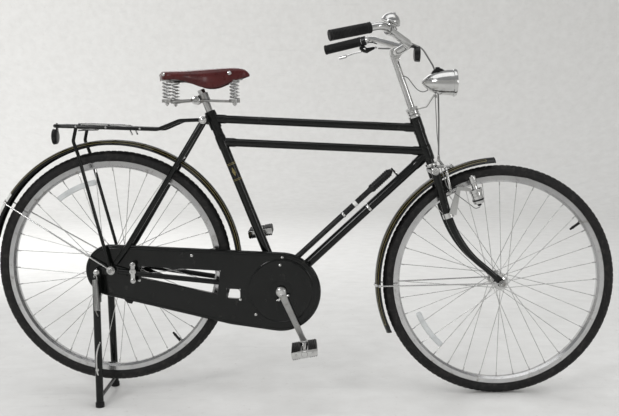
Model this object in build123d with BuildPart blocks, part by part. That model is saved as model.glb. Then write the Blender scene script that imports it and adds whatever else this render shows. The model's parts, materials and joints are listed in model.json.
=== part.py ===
"""Utility bicycle with twin top tubes, full chain case, rear rack and two-leg rear stand.

The bicycle stands on its stand: the two feet and the front tyre are on z = 0 and the rear
wheel hangs clear of the floor. X runs forward, Y to the rider's left and Z up. Lengths
named "from the axle" are measured forward from the rear axle, which lies at REAR_X.
"""
import os
from math import cos, radians, sin, sqrt

from build123d import *

os.makedirs("parts", exist_ok=True)

# ---------------------------------------------------------------- driving dimensions
WHEELBASE = 1176.0
TYRE_RADIUS = 356.0
TYRE_SECTION = 20.0          # half the tyre's width
TYRE_WALL = 3.5
REAR_LIFT = 55.0             # how far the stand holds the rear tyre off the floor
HEAD_ANGLE = 70.5            # steering axis above the horizontal
HEAD_FOOT_ANGLE = 120.14     # lower end of the head tube seen from the front axle, above straight ahead
HEAD_FOOT_ROOM = 39.8        # and its distance outside the front mudguard
HEAD_TUBE_LENGTH = 147.0
STEM_RISE = 205.0            # stem above the head tube
BRACKET_FROM_AXLE = 508.0    # crank axle
BRACKET_HEIGHT = 340.0
SEAT_ANGLE = 68.8
SEAT_TUBE_LENGTH = 572.0
CRANK_LENGTH = 172.0
CRANK_ANGLE = -66.3          # right crank below the horizontal, pointing forward

REAR_GUARD_RADIUS = TYRE_RADIUS + 33.0
FRONT_GUARD_RADIUS = TYRE_RADIUS + 24.0
GUARD_HALF_WIDTH = 28.5
GUARD_WALL = 1.2

MAIN_TUBE = 14.3             # tube radii
TOP_TUBE = 12.2
HEAD_TUBE = 16.0
HEAD_BORE = 14.5
STEERER = 12.7
STEERER_BORE = 11.2
STAY = 8.0
RACK_TUBE = 5.5
WALL = 1.4
BRACKET_SHELL = 20.0
BRACKET_HALF = 34.0
CRANK_AXLE = 8.0

FIT = 0.05                   # radial clearance of a running fit
SEAT = 0.2                   # gap between pieces that are clamped or brazed together

DROPOUT_FACE = 56.0          # inner face of the rear fork ends
PLATE = 4.0
STAY_OUT = 62.0              # stay centre line beside the fork ends
AXLE = 4.9
REAR_AXLE_HALF = 86.0
FRONT_AXLE_HALF = 70.0
FORK_END_FACE = 47.0

CASE_INNER = 34.0            # chain case between these distances right of the centre plane
CASE_OUTER = 52.0
CASE_WALL = 1.2
CASE_FRONT_RADIUS = 120.0
CASE_FRONT_SHIFT = (-1.5, -5.0)
CASE_BELLY = (375.0, -15.0)   # middle of the case's lower bulge, along and above the chain line
CASE_BELLY_RADIUS = 108.0
CASE_REAR_RADIUS = 77.5
CASE_REAR_SHIFT = (-2.5, -4.0)

BAR = 11.1
GRIP = 15.5
GRIP_LENGTH = 118.0
BAR_END_OUT = 222.0

STAND_PIVOT = (-42.0, -4.0)  # from the rear axle
STAND_LEAN = 1.0             # how far the feet rest ahead of the pivot, against the stop
STAND_PIN = 4.0
LEG = 11.0
LEG_TOP_OUT = 82.0
FOOT_OUT = 95.0

# ---------------------------------------------------------------- places that follow
REAR_X = -(WHEELBASE + TYRE_RADIUS - REAR_GUARD_RADIUS) / 2
REAR_Z = TYRE_RADIUS + REAR_LIFT
FRONT_Z = TYRE_RADIUS


def place(along, out, height):
    """A point given by its distance forward of the rear axle, leftward and above the floor."""
    return Vector(REAR_X + along, out, height)


REAR_HUB = place(0, 0, REAR_Z)
FRONT_HUB = place(WHEELBASE, 0, FRONT_Z)
BRACKET = place(BRACKET_FROM_AXLE, 0, BRACKET_HEIGHT)
FLOOR = place(0, 0, 0)
ACROSS = Vector(0, 1, 0)


def upward(angle):
    """A unit vector in the centre plane, turned up from straight ahead."""
    return Vector(cos(radians(angle)), 0, sin(radians(angle)))


HEAD_UP = upward(180.0 - HEAD_ANGLE)
HEAD_LOW = FRONT_HUB + upward(HEAD_FOOT_ANGLE) * (FRONT_GUARD_RADIUS + HEAD_FOOT_ROOM)
HEAD_TOP = HEAD_LOW + HEAD_UP * HEAD_TUBE_LENGTH
SEAT_UP = upward(180.0 - SEAT_ANGLE)
SEAT_LUG = BRACKET + SEAT_UP * SEAT_TUBE_LENGTH
POST_CLAMP = SEAT_LUG + SEAT_UP * 53.0
CROWN = HEAD_LOW - HEAD_UP * 22.5


def chain_line(along, out, rise):
    """A point beside the line from the rear axle to the crank axle, with its rise above it."""
    share = along / BRACKET_FROM_AXLE
    return place(along, out, REAR_Z + (BRACKET_HEIGHT - REAR_Z) * share + rise)


def on_chain_line(corners):
    """Plate corners, given by their distance ahead of the rear axle and rise above the chain line."""
    return [(along, chain_line(along, 0, rise).Z) for along, rise in corners]


def down_fork(along, out, height):
    """A point of the fork, given as shares of the way from the front axle to the crown."""
    return FRONT_HUB + Vector((CROWN - FRONT_HUB).X * along, out, (CROWN - FRONT_HUB).Z * height)


# ---------------------------------------------------------------- shared shapes
def rod(start, end, radius, bore=0.0, mode=Mode.ADD):
    """Add or cut a straight round rod, or a tube when it has a bore."""
    axis = Plane(origin=start, z_dir=end - start)
    with BuildSketch(axis) as section:
        Circle(radius)
        if bore:
            Circle(bore, mode=Mode.SUBTRACT)
    extrude(section.sketch, amount=(end - start).length, mode=mode)


def bent_rod(points, radii, radius, mode=Mode.ADD):
    """Add a round rod along straight runs joined by arcs of the given radii."""
    with BuildLine() as path:
        FilletPolyline(*points, radius=radii)
    start = Plane(origin=points[0], z_dir=points[1] - points[0])
    with BuildSketch(start) as section:
        Circle(radius)
    sweep(section.sketch, path=path.line, mode=mode)


def wheel_section(hub, angle=0.0):
    """A sketch plane through an axle: x is radial, y is leftward, turned up from straight ahead."""
    turn = radians(angle)
    return Plane(origin=hub, x_dir=(cos(turn), 0, sin(turn)), z_dir=(-sin(turn), 0, cos(turn)))


def spin(section, hub, arc=360.0):
    """Revolve a wheel section about the axle through a hub, forward side going up."""
    revolve(section.sketch, axis=Axis(hub, (0, -1, 0)), revolution_arc=arc)


def spin_corners(hub, corners, arc=360.0, angle=0.0):
    """Revolve a closed outline of (radius, leftward) corners about an axle."""
    with BuildSketch(wheel_section(hub, angle)) as section:
        with BuildLine():
            Polyline(*corners, close=True)
        make_face()
    spin(section, hub, arc)


def across_disc(centre, low, high, radius, bore=0.0, mode=Mode.ADD):
    """Add or cut a disc whose axis runs across the bicycle, between two leftward distances."""
    middle = Vector(centre.X, 0, centre.Z)
    rod(middle + ACROSS * low, middle + ACROSS * high, radius, bore, mode)


def upright_plate(corners, low, high, mode=Mode.ADD, origin=FLOOR):
    """Add or cut a plate outlined by (along, height) corners between two leftward distances."""
    side = Plane(origin=origin + ACROSS * high, x_dir=(1, 0, 0), z_dir=(0, -1, 0))
    with BuildSketch(side) as outline:
        with BuildLine():
            Polyline(*corners, close=True)
        make_face()
    extrude(outline.sketch, amount=high - low, mode=mode)


def save(piece, label):
    """Label a finished piece and write its STEP file."""
    piece.part.label = label
    export_step(piece.part, f"parts/{label}.step")


# ---------------------------------------------------------------- frame tubes
HEAD_UPPER_JOIN = HEAD_TOP - HEAD_UP * 33.0
HEAD_MIDDLE_JOIN = HEAD_LOW + HEAD_UP * 39.0
HEAD_LOWER_JOIN = HEAD_LOW + HEAD_UP * 30.5
SEAT_UPPER_JOIN = SEAT_LUG - SEAT_UP * 14.5
SEAT_LOWER_JOIN = SEAT_LUG - SEAT_UP * 90.0
CUP = 10.0
CUP_RADIUS = HEAD_TUBE + 3.0
LUG = MAIN_TUBE + 3.0
LUG_LENGTH = 46.0
SEAT_POST = MAIN_TUBE - WALL - FIT
POST_TOP = 11.0
POST_STEP = SEAT_LUG + SEAT_UP * 4.0
POST_END = SEAT_LUG + SEAT_UP * 78.0

with BuildPart() as head_tube:
    rod(HEAD_LOW + HEAD_UP * CUP, HEAD_TOP, HEAD_TUBE, HEAD_BORE)
save(head_tube, "head_tube")

with BuildPart() as seat_tube:
    rod(BRACKET, SEAT_LUG, MAIN_TUBE, MAIN_TUBE - WALL)
    across_disc(BRACKET, -BRACKET_HALF, BRACKET_HALF, BRACKET_SHELL, mode=Mode.SUBTRACT)
save(seat_tube, "seat_tube")

with BuildPart() as seat_lug:
    rod(SEAT_LUG - SEAT_UP * LUG_LENGTH, SEAT_LUG + SEAT_UP * 3.0, LUG, MAIN_TUBE)
save(seat_lug, "seat_lug")

with BuildPart() as upper_top_tube:
    rod(SEAT_UPPER_JOIN, HEAD_UPPER_JOIN, TOP_TUBE, TOP_TUBE - WALL)
    rod(SEAT_LUG - SEAT_UP * 2 * LUG_LENGTH, SEAT_LUG + SEAT_UP * LUG_LENGTH, LUG, mode=Mode.SUBTRACT)
    rod(HEAD_LOW, HEAD_TOP, HEAD_TUBE, mode=Mode.SUBTRACT)
save(upper_top_tube, "upper_top_tube")

with BuildPart() as lower_top_tube:
    rod(SEAT_LOWER_JOIN, HEAD_MIDDLE_JOIN, TOP_TUBE, TOP_TUBE - WALL)
    rod(BRACKET, SEAT_LUG, MAIN_TUBE, mode=Mode.SUBTRACT)
    rod(HEAD_LOW, HEAD_TOP, HEAD_TUBE, mode=Mode.SUBTRACT)
save(lower_top_tube, "lower_top_tube")

with BuildPart() as down_tube:
    rod(BRACKET, HEAD_LOWER_JOIN, MAIN_TUBE, MAIN_TUBE - WALL)
    rod(BRACKET, SEAT_LUG, MAIN_TUBE, mode=Mode.SUBTRACT)
    across_disc(BRACKET, -BRACKET_HALF, BRACKET_HALF, BRACKET_SHELL, mode=Mode.SUBTRACT)
    rod(HEAD_LOW, HEAD_TOP, HEAD_TUBE, mode=Mode.SUBTRACT)
    rod(SEAT_LOWER_JOIN, HEAD_MIDDLE_JOIN, TOP_TUBE, mode=Mode.SUBTRACT)
    rod(HEAD_LOW - HEAD_UP * CUP, HEAD_LOW + HEAD_UP * CUP, CUP_RADIUS, mode=Mode.SUBTRACT)
save(down_tube, "down_tube")

with BuildPart() as bottom_bracket_shell:
    across_disc(BRACKET, -BRACKET_HALF, BRACKET_HALF, BRACKET_SHELL, CRANK_AXLE + FIT)
    across_disc(BRACKET, -BRACKET_HALF + 9, BRACKET_HALF - 9, BRACKET_SHELL - 3, CRANK_AXLE,
                mode=Mode.SUBTRACT)
save(bottom_bracket_shell, "bottom_bracket_shell")

with BuildPart() as headset_cups:
    rod(HEAD_TOP, HEAD_TOP + HEAD_UP * CUP, CUP_RADIUS, STEERER + FIT)
    rod(HEAD_LOW, HEAD_LOW + HEAD_UP * CUP, CUP_RADIUS, STEERER + FIT)
save(headset_cups, "headset_cups")

# ---------------------------------------------------------------- stays and fork ends
GUARD_SEAT = REAR_GUARD_RADIUS + 0.3
BRIDGE = 6.0
CHAIN_STAY = [(BRACKET_FROM_AXLE - BRACKET_SHELL - 4.0, 23.0), (BRACKET_FROM_AXLE - 156.0, 34.0),
              (100.0, STAY_OUT - 0.5), (20.0, STAY_OUT)]
SEAT_BOLT = SEAT_LUG + Vector(-19.0, 0, -17.5)
SEAT_STAY_FOOT = [(13.0, STAY_OUT, 20.0), (52.0, STAY_OUT - 1.5, 73.0)]
SEAT_STAY_TOP = SEAT_BOLT + Vector(2.0, LUG + STAY + SEAT, 4.0)
RACK_AT_SEAT = SEAT_STAY_TOP.Y + STAY + SEAT + RACK_TUBE
SEAT_BOLT_HALF = RACK_AT_SEAT + 0.8


def chain_stay(side):
    """The points of one chain stay's centre line, from the bracket to the fork end."""
    return [chain_line(along, side * out, -0.5) for along, out in CHAIN_STAY]


def seat_stay(side):
    """The points of one seat stay's centre line, from the fork end to the seat lug."""
    foot = [REAR_HUB + Vector(along, side * out, rise) for along, out, rise in SEAT_STAY_FOOT]
    return foot + [Vector(SEAT_STAY_TOP.X, side * SEAT_STAY_TOP.Y, SEAT_STAY_TOP.Z)]


def meets_circle(start, end, radius):
    """How far along a stay, from 0 to 1, it crosses a circle about the rear axle."""
    run, rise = end.X - start.X, end.Z - start.Z
    along, height = start.X - REAR_HUB.X, start.Z - REAR_HUB.Z
    square = run ** 2 + rise ** 2
    half = along * run + height * rise
    rest = along ** 2 + height ** 2 - radius ** 2
    return (-half + sqrt(half ** 2 - square * rest)) / square


def bridge(start, end):
    """Add the cross tube that joins a pair of stays just outside the mudguard."""
    middle = start + (end - start) * meets_circle(start, end, GUARD_SEAT + BRIDGE)
    rod(Vector(middle.X, -middle.Y, middle.Z), middle, BRIDGE)


with BuildPart() as chain_stays:
    for side in (-1, 1):
        bent_rod(chain_stay(side), [60.0, 60.0], STAY)
        plate = sorted((side * DROPOUT_FACE, side * (DROPOUT_FACE + PLATE)))
        across_disc(REAR_HUB, *plate, 15.0)
        upright_plate(on_chain_line([(0, -15.0), (44, -14.0), (44, 9.0), (6, 15.3)]), *plate)
        across_disc(REAR_HUB, *plate, AXLE + SEAT, mode=Mode.SUBTRACT)
    bridge(chain_stay(1)[1], chain_stay(1)[0])
save(chain_stays, "chain_stays")

with BuildPart() as seat_stays:
    for side in (-1, 1):
        bent_rod(seat_stay(side), [60.0], STAY)
        plate = sorted((side * (DROPOUT_FACE - 3), side * (DROPOUT_FACE + PLATE + SEAT)))
        across_disc(REAR_HUB, *plate, 27.0, mode=Mode.SUBTRACT)
    bridge(*seat_stay(1)[1:])
    across_disc(SEAT_BOLT, -SEAT_BOLT_HALF, SEAT_BOLT_HALF, 4.0, mode=Mode.SUBTRACT)
save(seat_stays, "seat_stays")

with BuildPart() as seat_bolt:
    across_disc(SEAT_BOLT, -SEAT_BOLT_HALF, SEAT_BOLT_HALF, 4.0)
save(seat_bolt, "seat_bolt")

# ---------------------------------------------------------------- seat post and saddle
with BuildPart() as seat_post:
    rod(SEAT_LUG - SEAT_UP * 90.0, POST_STEP, SEAT_POST)
    rod(POST_STEP, POST_END, POST_TOP)
save(seat_post, "seat_post")

SADDLE_REAR = -120.0         # from here to the springs, along and height are from the post clamp
SADDLE_NOSE = 139.0
LEATHER = 4.5
SADDLE_SIDE = [(SADDLE_REAR, 56), (SADDLE_REAR, 77), (-57, 78), (22, 85), (86, 88), (121, 86),
               (SADDLE_NOSE, 67), (136, 61), (89, 46), (43, 26), (2, 26), (-50, 48), (-92, 57)]
SADDLE_HALF = [(-118, 60), (-109, 88), (-87, 102), (-55, 98), (-20, 77), (18, 51), (63, 34),
               (113, 26), (130, 18)]


def saddle_form(outline, drop):
    """Build a form with the saddle's side profile, lowered by a drop, inside a top outline."""
    side = Plane(origin=POST_CLAMP + Vector(0, 150, -drop), x_dir=(1, 0, 0), z_dir=(0, -1, 0))
    with BuildSketch(side) as profile:
        with BuildLine():
            Polyline(*SADDLE_SIDE, close=True)
        make_face()
    extrude(profile.sketch, amount=300)
    extrude(outline.sketch, amount=200, mode=Mode.INTERSECT)


SADDLE_PLANE = Plane(origin=POST_CLAMP)
with BuildSketch(SADDLE_PLANE) as leather_outline:
    with BuildLine():
        Spline(*SADDLE_HALF)
        Spline(*[(along, -out) for along, out in SADDLE_HALF])
        nose = SADDLE_HALF[-1]
        ThreePointArc(nose, (SADDLE_NOSE, 0), (nose[0], -nose[1]))
        Line(SADDLE_HALF[0], (SADDLE_HALF[0][0], -SADDLE_HALF[0][1]))
    make_face()

with BuildSketch(SADDLE_PLANE) as hollow_outline:
    with BuildLine():
        half = [(along + LEATHER, out - 1.6 * LEATHER) for along, out in SADDLE_HALF[:-1]]
        Polyline(*half, *[(along, -out) for along, out in reversed(half)], close=True)
    make_face()

with BuildPart() as saddle_hollow:
    saddle_form(hollow_outline, LEATHER)

with BuildPart() as saddle_cover:
    saddle_form(leather_outline, 0)
    add(saddle_hollow.part, mode=Mode.SUBTRACT)
save(saddle_cover, "saddle_cover")

SPRING_WIRE = 2.1
SPRING_RADIUS = 14.0
SPRING_REAR = (-98.0, 74.0)
SPRING_FRONT = (92.0, 15.5)
SPRING_LOW = -6.0
SPRING_HIGH = 47.0
SPRING_TURNS = 5.0
RAIL = 3.5
RAIL_HEIGHT = -12.0
BRIDLE_HEIGHT = 54.0
BRIDLE = 3.0


def seat(along, out, height):
    """A point given from the clamp on the seat post."""
    return POST_CLAMP + Vector(along, out, height)


with BuildPart() as saddle_frame:
    rod(POST_CLAMP - SEAT_UP * 12.0, POST_CLAMP + SEAT_UP * 12.0, POST_TOP + 5.0, POST_TOP)
    across_disc(seat(-22.0, 0, RAIL_HEIGHT + 4), -26.0, 26.0, 11.0)
    rod(POST_CLAMP - SEAT_UP * 13.0, POST_CLAMP + SEAT_UP * 13.0, POST_TOP, mode=Mode.SUBTRACT)
    for side in (-1, 1):
        bent_rod([seat(SPRING_REAR[0], side * SPRING_REAR[1], RAIL_HEIGHT),
                  seat(-24.0, side * 22.0, RAIL_HEIGHT + 4),
                  seat(SPRING_FRONT[0], side * SPRING_FRONT[1], RAIL_HEIGHT)], [40.0], RAIL)
        for along, out in (SPRING_REAR, SPRING_FRONT):
            rod(seat(along, side * out, RAIL_HEIGHT - RAIL), seat(along, side * out, SPRING_LOW),
                SPRING_RADIUS + 1)
            rod(seat(along, side * out, SPRING_HIGH), seat(along, side * out, SPRING_HIGH + 4),
                SPRING_RADIUS + 1)
    rod(seat(SPRING_REAR[0], -84.0, BRIDLE_HEIGHT - 3), seat(SPRING_REAR[0], 84.0, BRIDLE_HEIGHT - 3),
        BRIDLE)
    rod(seat(SPRING_REAR[0], -80.0, BRIDLE_HEIGHT - 3), seat(SPRING_FRONT[0] + 24, 0, BRIDLE_HEIGHT), BRIDLE)
    rod(seat(SPRING_REAR[0], 80.0, BRIDLE_HEIGHT - 3), seat(SPRING_FRONT[0] + 24, 0, BRIDLE_HEIGHT), BRIDLE)
    add(saddle_cover.part, mode=Mode.SUBTRACT)
save(saddle_frame, "saddle_frame")

with BuildPart() as saddle_springs:
    for along, out in (SPRING_REAR, SPRING_FRONT):
        for side in (-1, 1):
            foot = seat(along, side * out, SPRING_LOW + SPRING_WIRE)
            height = SPRING_HIGH - SPRING_LOW - 2 * SPRING_WIRE
            coil = Helix(height / SPRING_TURNS, height, SPRING_RADIUS - SPRING_WIRE)
            coil = coil.moved(Location(foot))
            with BuildSketch(Plane(origin=coil @ 0, z_dir=coil % 0)) as wire:
                Circle(SPRING_WIRE)
            sweep(wire.sketch, path=coil)
save(saddle_springs, "saddle_springs")

# ---------------------------------------------------------------- rear rack
RACK_OUT = 61.0
RACK_BACK = -156.0
RACK_FRONT = 152.0
RACK_DROP = 26.0             # front of the platform below the seat bolt
RACK_SLOPE = 13.0 / (RACK_FRONT - RACK_BACK)
STRUT = 5.0
STRUT_PLACE = -88.0
EYE = 9.5
BRACKET_FACE = DROPOUT_FACE + PLATE + SEAT
STRUT_FACE = BRACKET_FACE + PLATE + SEAT
STRUT_PLATE = 2.2
GUARD_STAY_FACE = STRUT_FACE + STRUT_PLATE + SEAT
GUARD_STAY = 2.2
NUT_FACE = GUARD_STAY_FACE + 2 * GUARD_STAY + SEAT
STRUT_OUT = STRUT_FACE + STRUT


def on_rack(along, out, rise=0.0):
    """A point of the rack's platform, which climbs gently to the rear."""
    return place(along, out, SEAT_BOLT.Z - RACK_DROP + (RACK_FRONT - along) * RACK_SLOPE + rise)


with BuildPart() as rear_rack:
    for side in (-1, 1):
        rail = [SEAT_BOLT + Vector(0, side * RACK_AT_SEAT, 1),
                SEAT_BOLT + Vector(-69, side * (RACK_AT_SEAT + 8.8), -1),
                on_rack(RACK_FRONT, side * RACK_OUT), on_rack(RACK_BACK, side * RACK_OUT),
                on_rack(RACK_BACK, 0)]
        bent_rod(rail, [34.0, 34.0, 22.0], RACK_TUBE)
        strut = [on_rack(STRUT_PLACE, side * RACK_OUT), on_rack(STRUT_PLACE - 10, side * (RACK_OUT + 1), -43),
                 on_rack(STRUT_PLACE + 4, side * (RACK_OUT + 3), -84),
                 place(-4, side * STRUT_OUT, REAR_Z + 14)]
        bent_rod(strut, [18.0, 18.0], STRUT)
        eye = sorted((side * STRUT_FACE, side * (STRUT_FACE + STRUT_PLATE)))
        across_disc(REAR_HUB, *eye, EYE)
        upright_plate([(-9, REAR_Z + 2), (8, REAR_Z + 2), (1, REAR_Z + 22), (-7, REAR_Z + 22)], *eye)
        across_disc(REAR_HUB, *eye, AXLE + SEAT, mode=Mode.SUBTRACT)
    for along in (STRUT_PLACE, 0.0, 100.0):
        rod(on_rack(along, -RACK_OUT), on_rack(along, RACK_OUT), 4.0)
    across_disc(SEAT_BOLT, -SEAT_BOLT_HALF - 5.0, SEAT_BOLT_HALF + 5.0, 4.0, mode=Mode.SUBTRACT)
save(rear_rack, "rear_rack")

REFLECTOR_BACK = RACK_BACK - RACK_TUBE - SEAT
with BuildPart() as rear_reflector:
    middle = on_rack(REFLECTOR_BACK, 0, -33)
    rod(middle, middle + Vector(-13, 0, 0), 24.0)
    upright_plate([(-4, 19), (0, 19), (0, 41), (-4, 41)], -9.0, 9.0, origin=middle)
save(rear_reflector, "rear_reflector")

# ---------------------------------------------------------------- mudguards
GUARD_DROP = 15.0
REAR_GUARD_FROM = -4.0
REAR_GUARD_TO = 166.0
FRONT_GUARD_FROM = 93.0
FRONT_GUARD_TO = 205.0
REAR_GUARD_STAYS = 148.0
FRONT_GUARD_STAYS = 181.5


def guard_section(hub, radius, angle):
    """Sketch the curved strip of a mudguard, cut square at one end."""
    with BuildSketch(wheel_section(hub, angle)) as section:
        with BuildLine():
            inner = radius - GUARD_WALL
            edge = (radius - GUARD_DROP, GUARD_HALF_WIDTH)
            inner_edge = (radius - GUARD_DROP, GUARD_HALF_WIDTH - GUARD_WALL)
            ThreePointArc((edge[0], -edge[1]), (radius, 0), edge)
            ThreePointArc((inner_edge[0], -inner_edge[1]), (inner, 0), inner_edge)
            Line((edge[0], -edge[1]), (inner_edge[0], -inner_edge[1]))
            Line(edge, inner_edge)
        make_face()
    return section


with BuildPart() as rear_mudguard:
    strip = guard_section(REAR_HUB, REAR_GUARD_RADIUS, REAR_GUARD_FROM)
    spin(strip, REAR_HUB, REAR_GUARD_TO - REAR_GUARD_FROM)
save(rear_mudguard, "rear_mudguard")

with BuildPart() as front_mudguard:
    strip = guard_section(FRONT_HUB, FRONT_GUARD_RADIUS, FRONT_GUARD_FROM)
    spin(strip, FRONT_HUB, FRONT_GUARD_TO - FRONT_GUARD_FROM)
save(front_mudguard, "front_mudguard")


def guard_stays(hub, angle, radius, axle_face):
    """Add the pair of wire stays, their eyes on the axle and the band round the mudguard."""
    turn = radians(angle)
    reach = radius - GUARD_DROP + 3.0
    band_out = GUARD_HALF_WIDTH + GUARD_STAY + 0.3
    band = hub + Vector(cos(turn), 0, sin(turn)) * reach
    for side in (-1, 1):
        root = hub + Vector(cos(turn) * EYE, side * (axle_face + GUARD_STAY), sin(turn) * EYE)
        rod(root, band + ACROSS * side * band_out, GUARD_STAY)
        eye = sorted((side * axle_face, side * (axle_face + 2 * GUARD_STAY)))
        across_disc(hub, *eye, EYE)
        across_disc(hub, *eye, AXLE + SEAT, mode=Mode.SUBTRACT)
    outer = radius + 0.3
    with BuildSketch(wheel_section(hub, angle)) as strap:
        with BuildLine():
            edge = (radius - GUARD_DROP + 0.3, GUARD_HALF_WIDTH + 0.3)
            far = (radius - GUARD_DROP + 0.3, GUARD_HALF_WIDTH + 0.3 + 2.0)
            ThreePointArc((edge[0], -edge[1]), (outer, 0), edge)
            ThreePointArc((far[0], -far[1]), (outer + 2.0, 0), far)
            Line((edge[0], -edge[1]), (far[0], -far[1]))
            Line(edge, far)
        make_face()
    extrude(strap.sketch, amount=4.0, both=True)


with BuildPart() as rear_mudguard_stays:
    guard_stays(REAR_HUB, REAR_GUARD_STAYS, REAR_GUARD_RADIUS, GUARD_STAY_FACE)
save(rear_mudguard_stays, "rear_mudguard_stays")

# ---------------------------------------------------------------- chain case
CASE_REAR = place(CASE_REAR_SHIFT[0], 0, REAR_Z + CASE_REAR_SHIFT[1])
CASE_FRONT = (BRACKET.X + CASE_FRONT_SHIFT[0], BRACKET.Z + CASE_FRONT_SHIFT[1])
CASE_MIDDLE = chain_line(CASE_BELLY[0], 0, CASE_BELLY[1])
CASE_WINDOW = on_chain_line([(83, 21.5), (326, 39.0), (316, -37.0), (83, -15.5)])
STAY_RECESS = on_chain_line([(300, 35.9), (420, 19.7), (474, 17.2), (478, -11.2), (400, -22.1),
                             (318, -37.6)])
CASE_PORT = on_chain_line([(343, -13.1), (385, -10.2), (385, -42.2), (343, -45.1)])
RECESS_DEPTH = 46.0
DISC_RADIUS = 98.0


def case_outline(inset):
    """Sketch the case's outline, round at both ends, on the centre plane."""
    with BuildSketch(Plane(origin=(0, 0, 0), x_dir=(1, 0, 0), z_dir=(0, -1, 0))) as outline:
        with Locations(CASE_FRONT):
            Circle(CASE_FRONT_RADIUS - inset)
        with Locations((CASE_MIDDLE.X, CASE_MIDDLE.Z)):
            Circle(CASE_BELLY_RADIUS - inset)
        with Locations((CASE_REAR.X, CASE_REAR.Z)):
            Circle(CASE_REAR_RADIUS - inset)
        make_hull()
    return outline


def grown(corners, amount):
    """Push a convex outline's corners away from their middle by about an amount."""
    middle = (sum(c[0] for c in corners) / len(corners), sum(c[1] for c in corners) / len(corners))
    moved = []
    for along, height in corners:
        run, rise = along - middle[0], height - middle[1]
        far = sqrt(run * run + rise * rise)
        moved.append((along + run / far * amount, height + rise / far * amount))
    return moved


with BuildPart() as case_hollow:
    inside = case_outline(CASE_WALL)
    extrude(inside.sketch, amount=CASE_OUTER - CASE_WALL)
    extrude(inside.sketch, amount=CASE_INNER + CASE_WALL, mode=Mode.SUBTRACT)
    upright_plate(grown(CASE_WINDOW, 2.0), -CASE_OUTER, 0, mode=Mode.SUBTRACT)
    upright_plate(grown(CASE_PORT, 2.0), -CASE_OUTER, 0, mode=Mode.SUBTRACT)
    upright_plate(grown(STAY_RECESS, 2.0), -RECESS_DEPTH - CASE_WALL, 0, mode=Mode.SUBTRACT)

with BuildPart() as chain_case:
    outside = case_outline(0.0)
    extrude(outside.sketch, amount=CASE_OUTER)
    fillet(chain_case.faces().sort_by(Axis.Y)[0].edges(), 5.0)
    extrude(outside.sketch, amount=CASE_INNER, mode=Mode.SUBTRACT)
    across_disc(BRACKET, -CASE_OUTER - 2.5, -CASE_OUTER, DISC_RADIUS)
    add(case_hollow.part, mode=Mode.SUBTRACT)
    upright_plate(CASE_WINDOW, -2 * CASE_OUTER, 0, mode=Mode.SUBTRACT)
    upright_plate(CASE_PORT, -2 * CASE_OUTER, 0, mode=Mode.SUBTRACT)
    upright_plate(STAY_RECESS, -RECESS_DEPTH, 0, mode=Mode.SUBTRACT)
    across_disc(BRACKET, -2 * CASE_OUTER, 0, CRANK_AXLE + 6.0, mode=Mode.SUBTRACT)
    across_disc(REAR_HUB, -CASE_INNER - 2 * CASE_WALL, 0, 23.0, mode=Mode.SUBTRACT)
    across_disc(REAR_HUB, -2 * CASE_OUTER, 0, 8.5, mode=Mode.SUBTRACT)
save(chain_case, "chain_case")

CLIP_PLACE = 66.0
CLIP_RISE = 24.0
with BuildPart() as chain_case_clip:
    stay_side = -STAY_OUT - 0.5
    middle = chain_line(CLIP_PLACE, 0, 2.0)
    upright_plate([(-6, -CLIP_RISE - 6), (6, -CLIP_RISE - 6), (6, CLIP_RISE + 6), (-6, CLIP_RISE + 6)],
                  stay_side - STAY - 2.0, stay_side - STAY, origin=middle)
    for rise in (-CLIP_RISE, CLIP_RISE):
        bolt = middle + Vector(0, 0, rise)
        across_disc(bolt, stay_side - STAY - 5.0, stay_side - STAY - 2.0, 6.0)
        across_disc(bolt, stay_side - STAY, -CASE_OUTER, 2.5)
save(chain_case_clip, "chain_case_clip")

# ---------------------------------------------------------------- pump on the down tube
PUMP_OFFSET = 37.0
PUMP_BARREL = 9.5
PUMP_HANDLE = 13.5
TUBE_RUN = (HEAD_LOWER_JOIN - BRACKET).normalized()
TUBE_OVER = Vector(-TUBE_RUN.Z, 0, TUBE_RUN.X)
PUMP_LINE = BRACKET + TUBE_OVER * PUMP_OFFSET
PUMP_START = PUMP_LINE + TUBE_RUN * 98.0
PUMP_STEP = PUMP_LINE + TUBE_RUN * 406.0
PUMP_END = PUMP_LINE + TUBE_RUN * 484.0
PEG = 3.0

with BuildPart() as pump:
    rod(PUMP_START, PUMP_STEP, PUMP_BARREL)
    rod(PUMP_STEP, PUMP_END, PUMP_HANDLE)
    rod(PUMP_END, PUMP_END + TUBE_RUN * 8.0, PUMP_BARREL - 3)
save(pump, "pump")

with BuildPart() as pump_pegs:
    for start, way in ((PUMP_START - TUBE_RUN * (PEG + SEAT), 1),
                       (PUMP_END + TUBE_RUN * (8.0 + PEG + SEAT), 1)):
        rod(start - TUBE_OVER * (PUMP_OFFSET - MAIN_TUBE), start + TUBE_OVER * 5.0, PEG)
save(pump_pegs, "pump_pegs")

# ---------------------------------------------------------------- axles, stand bracket, brake arm
NUT = 9.0
NUT_LENGTH = 9.0
DRIVER_END = 44.0

with BuildPart() as rear_axle:
    across_disc(REAR_HUB, -REAR_AXLE_HALF, REAR_AXLE_HALF, AXLE)
    for side in (-1, 1):
        nut = sorted((side * NUT_FACE, side * (NUT_FACE + NUT_LENGTH)))
        across_disc(REAR_HUB, *nut, NUT)
        spacer = sorted((side * (DRIVER_END + 0.3), side * (DROPOUT_FACE - 0.1)))
        across_disc(REAR_HUB, *spacer, 8.0)
save(rear_axle, "rear_axle")

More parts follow.
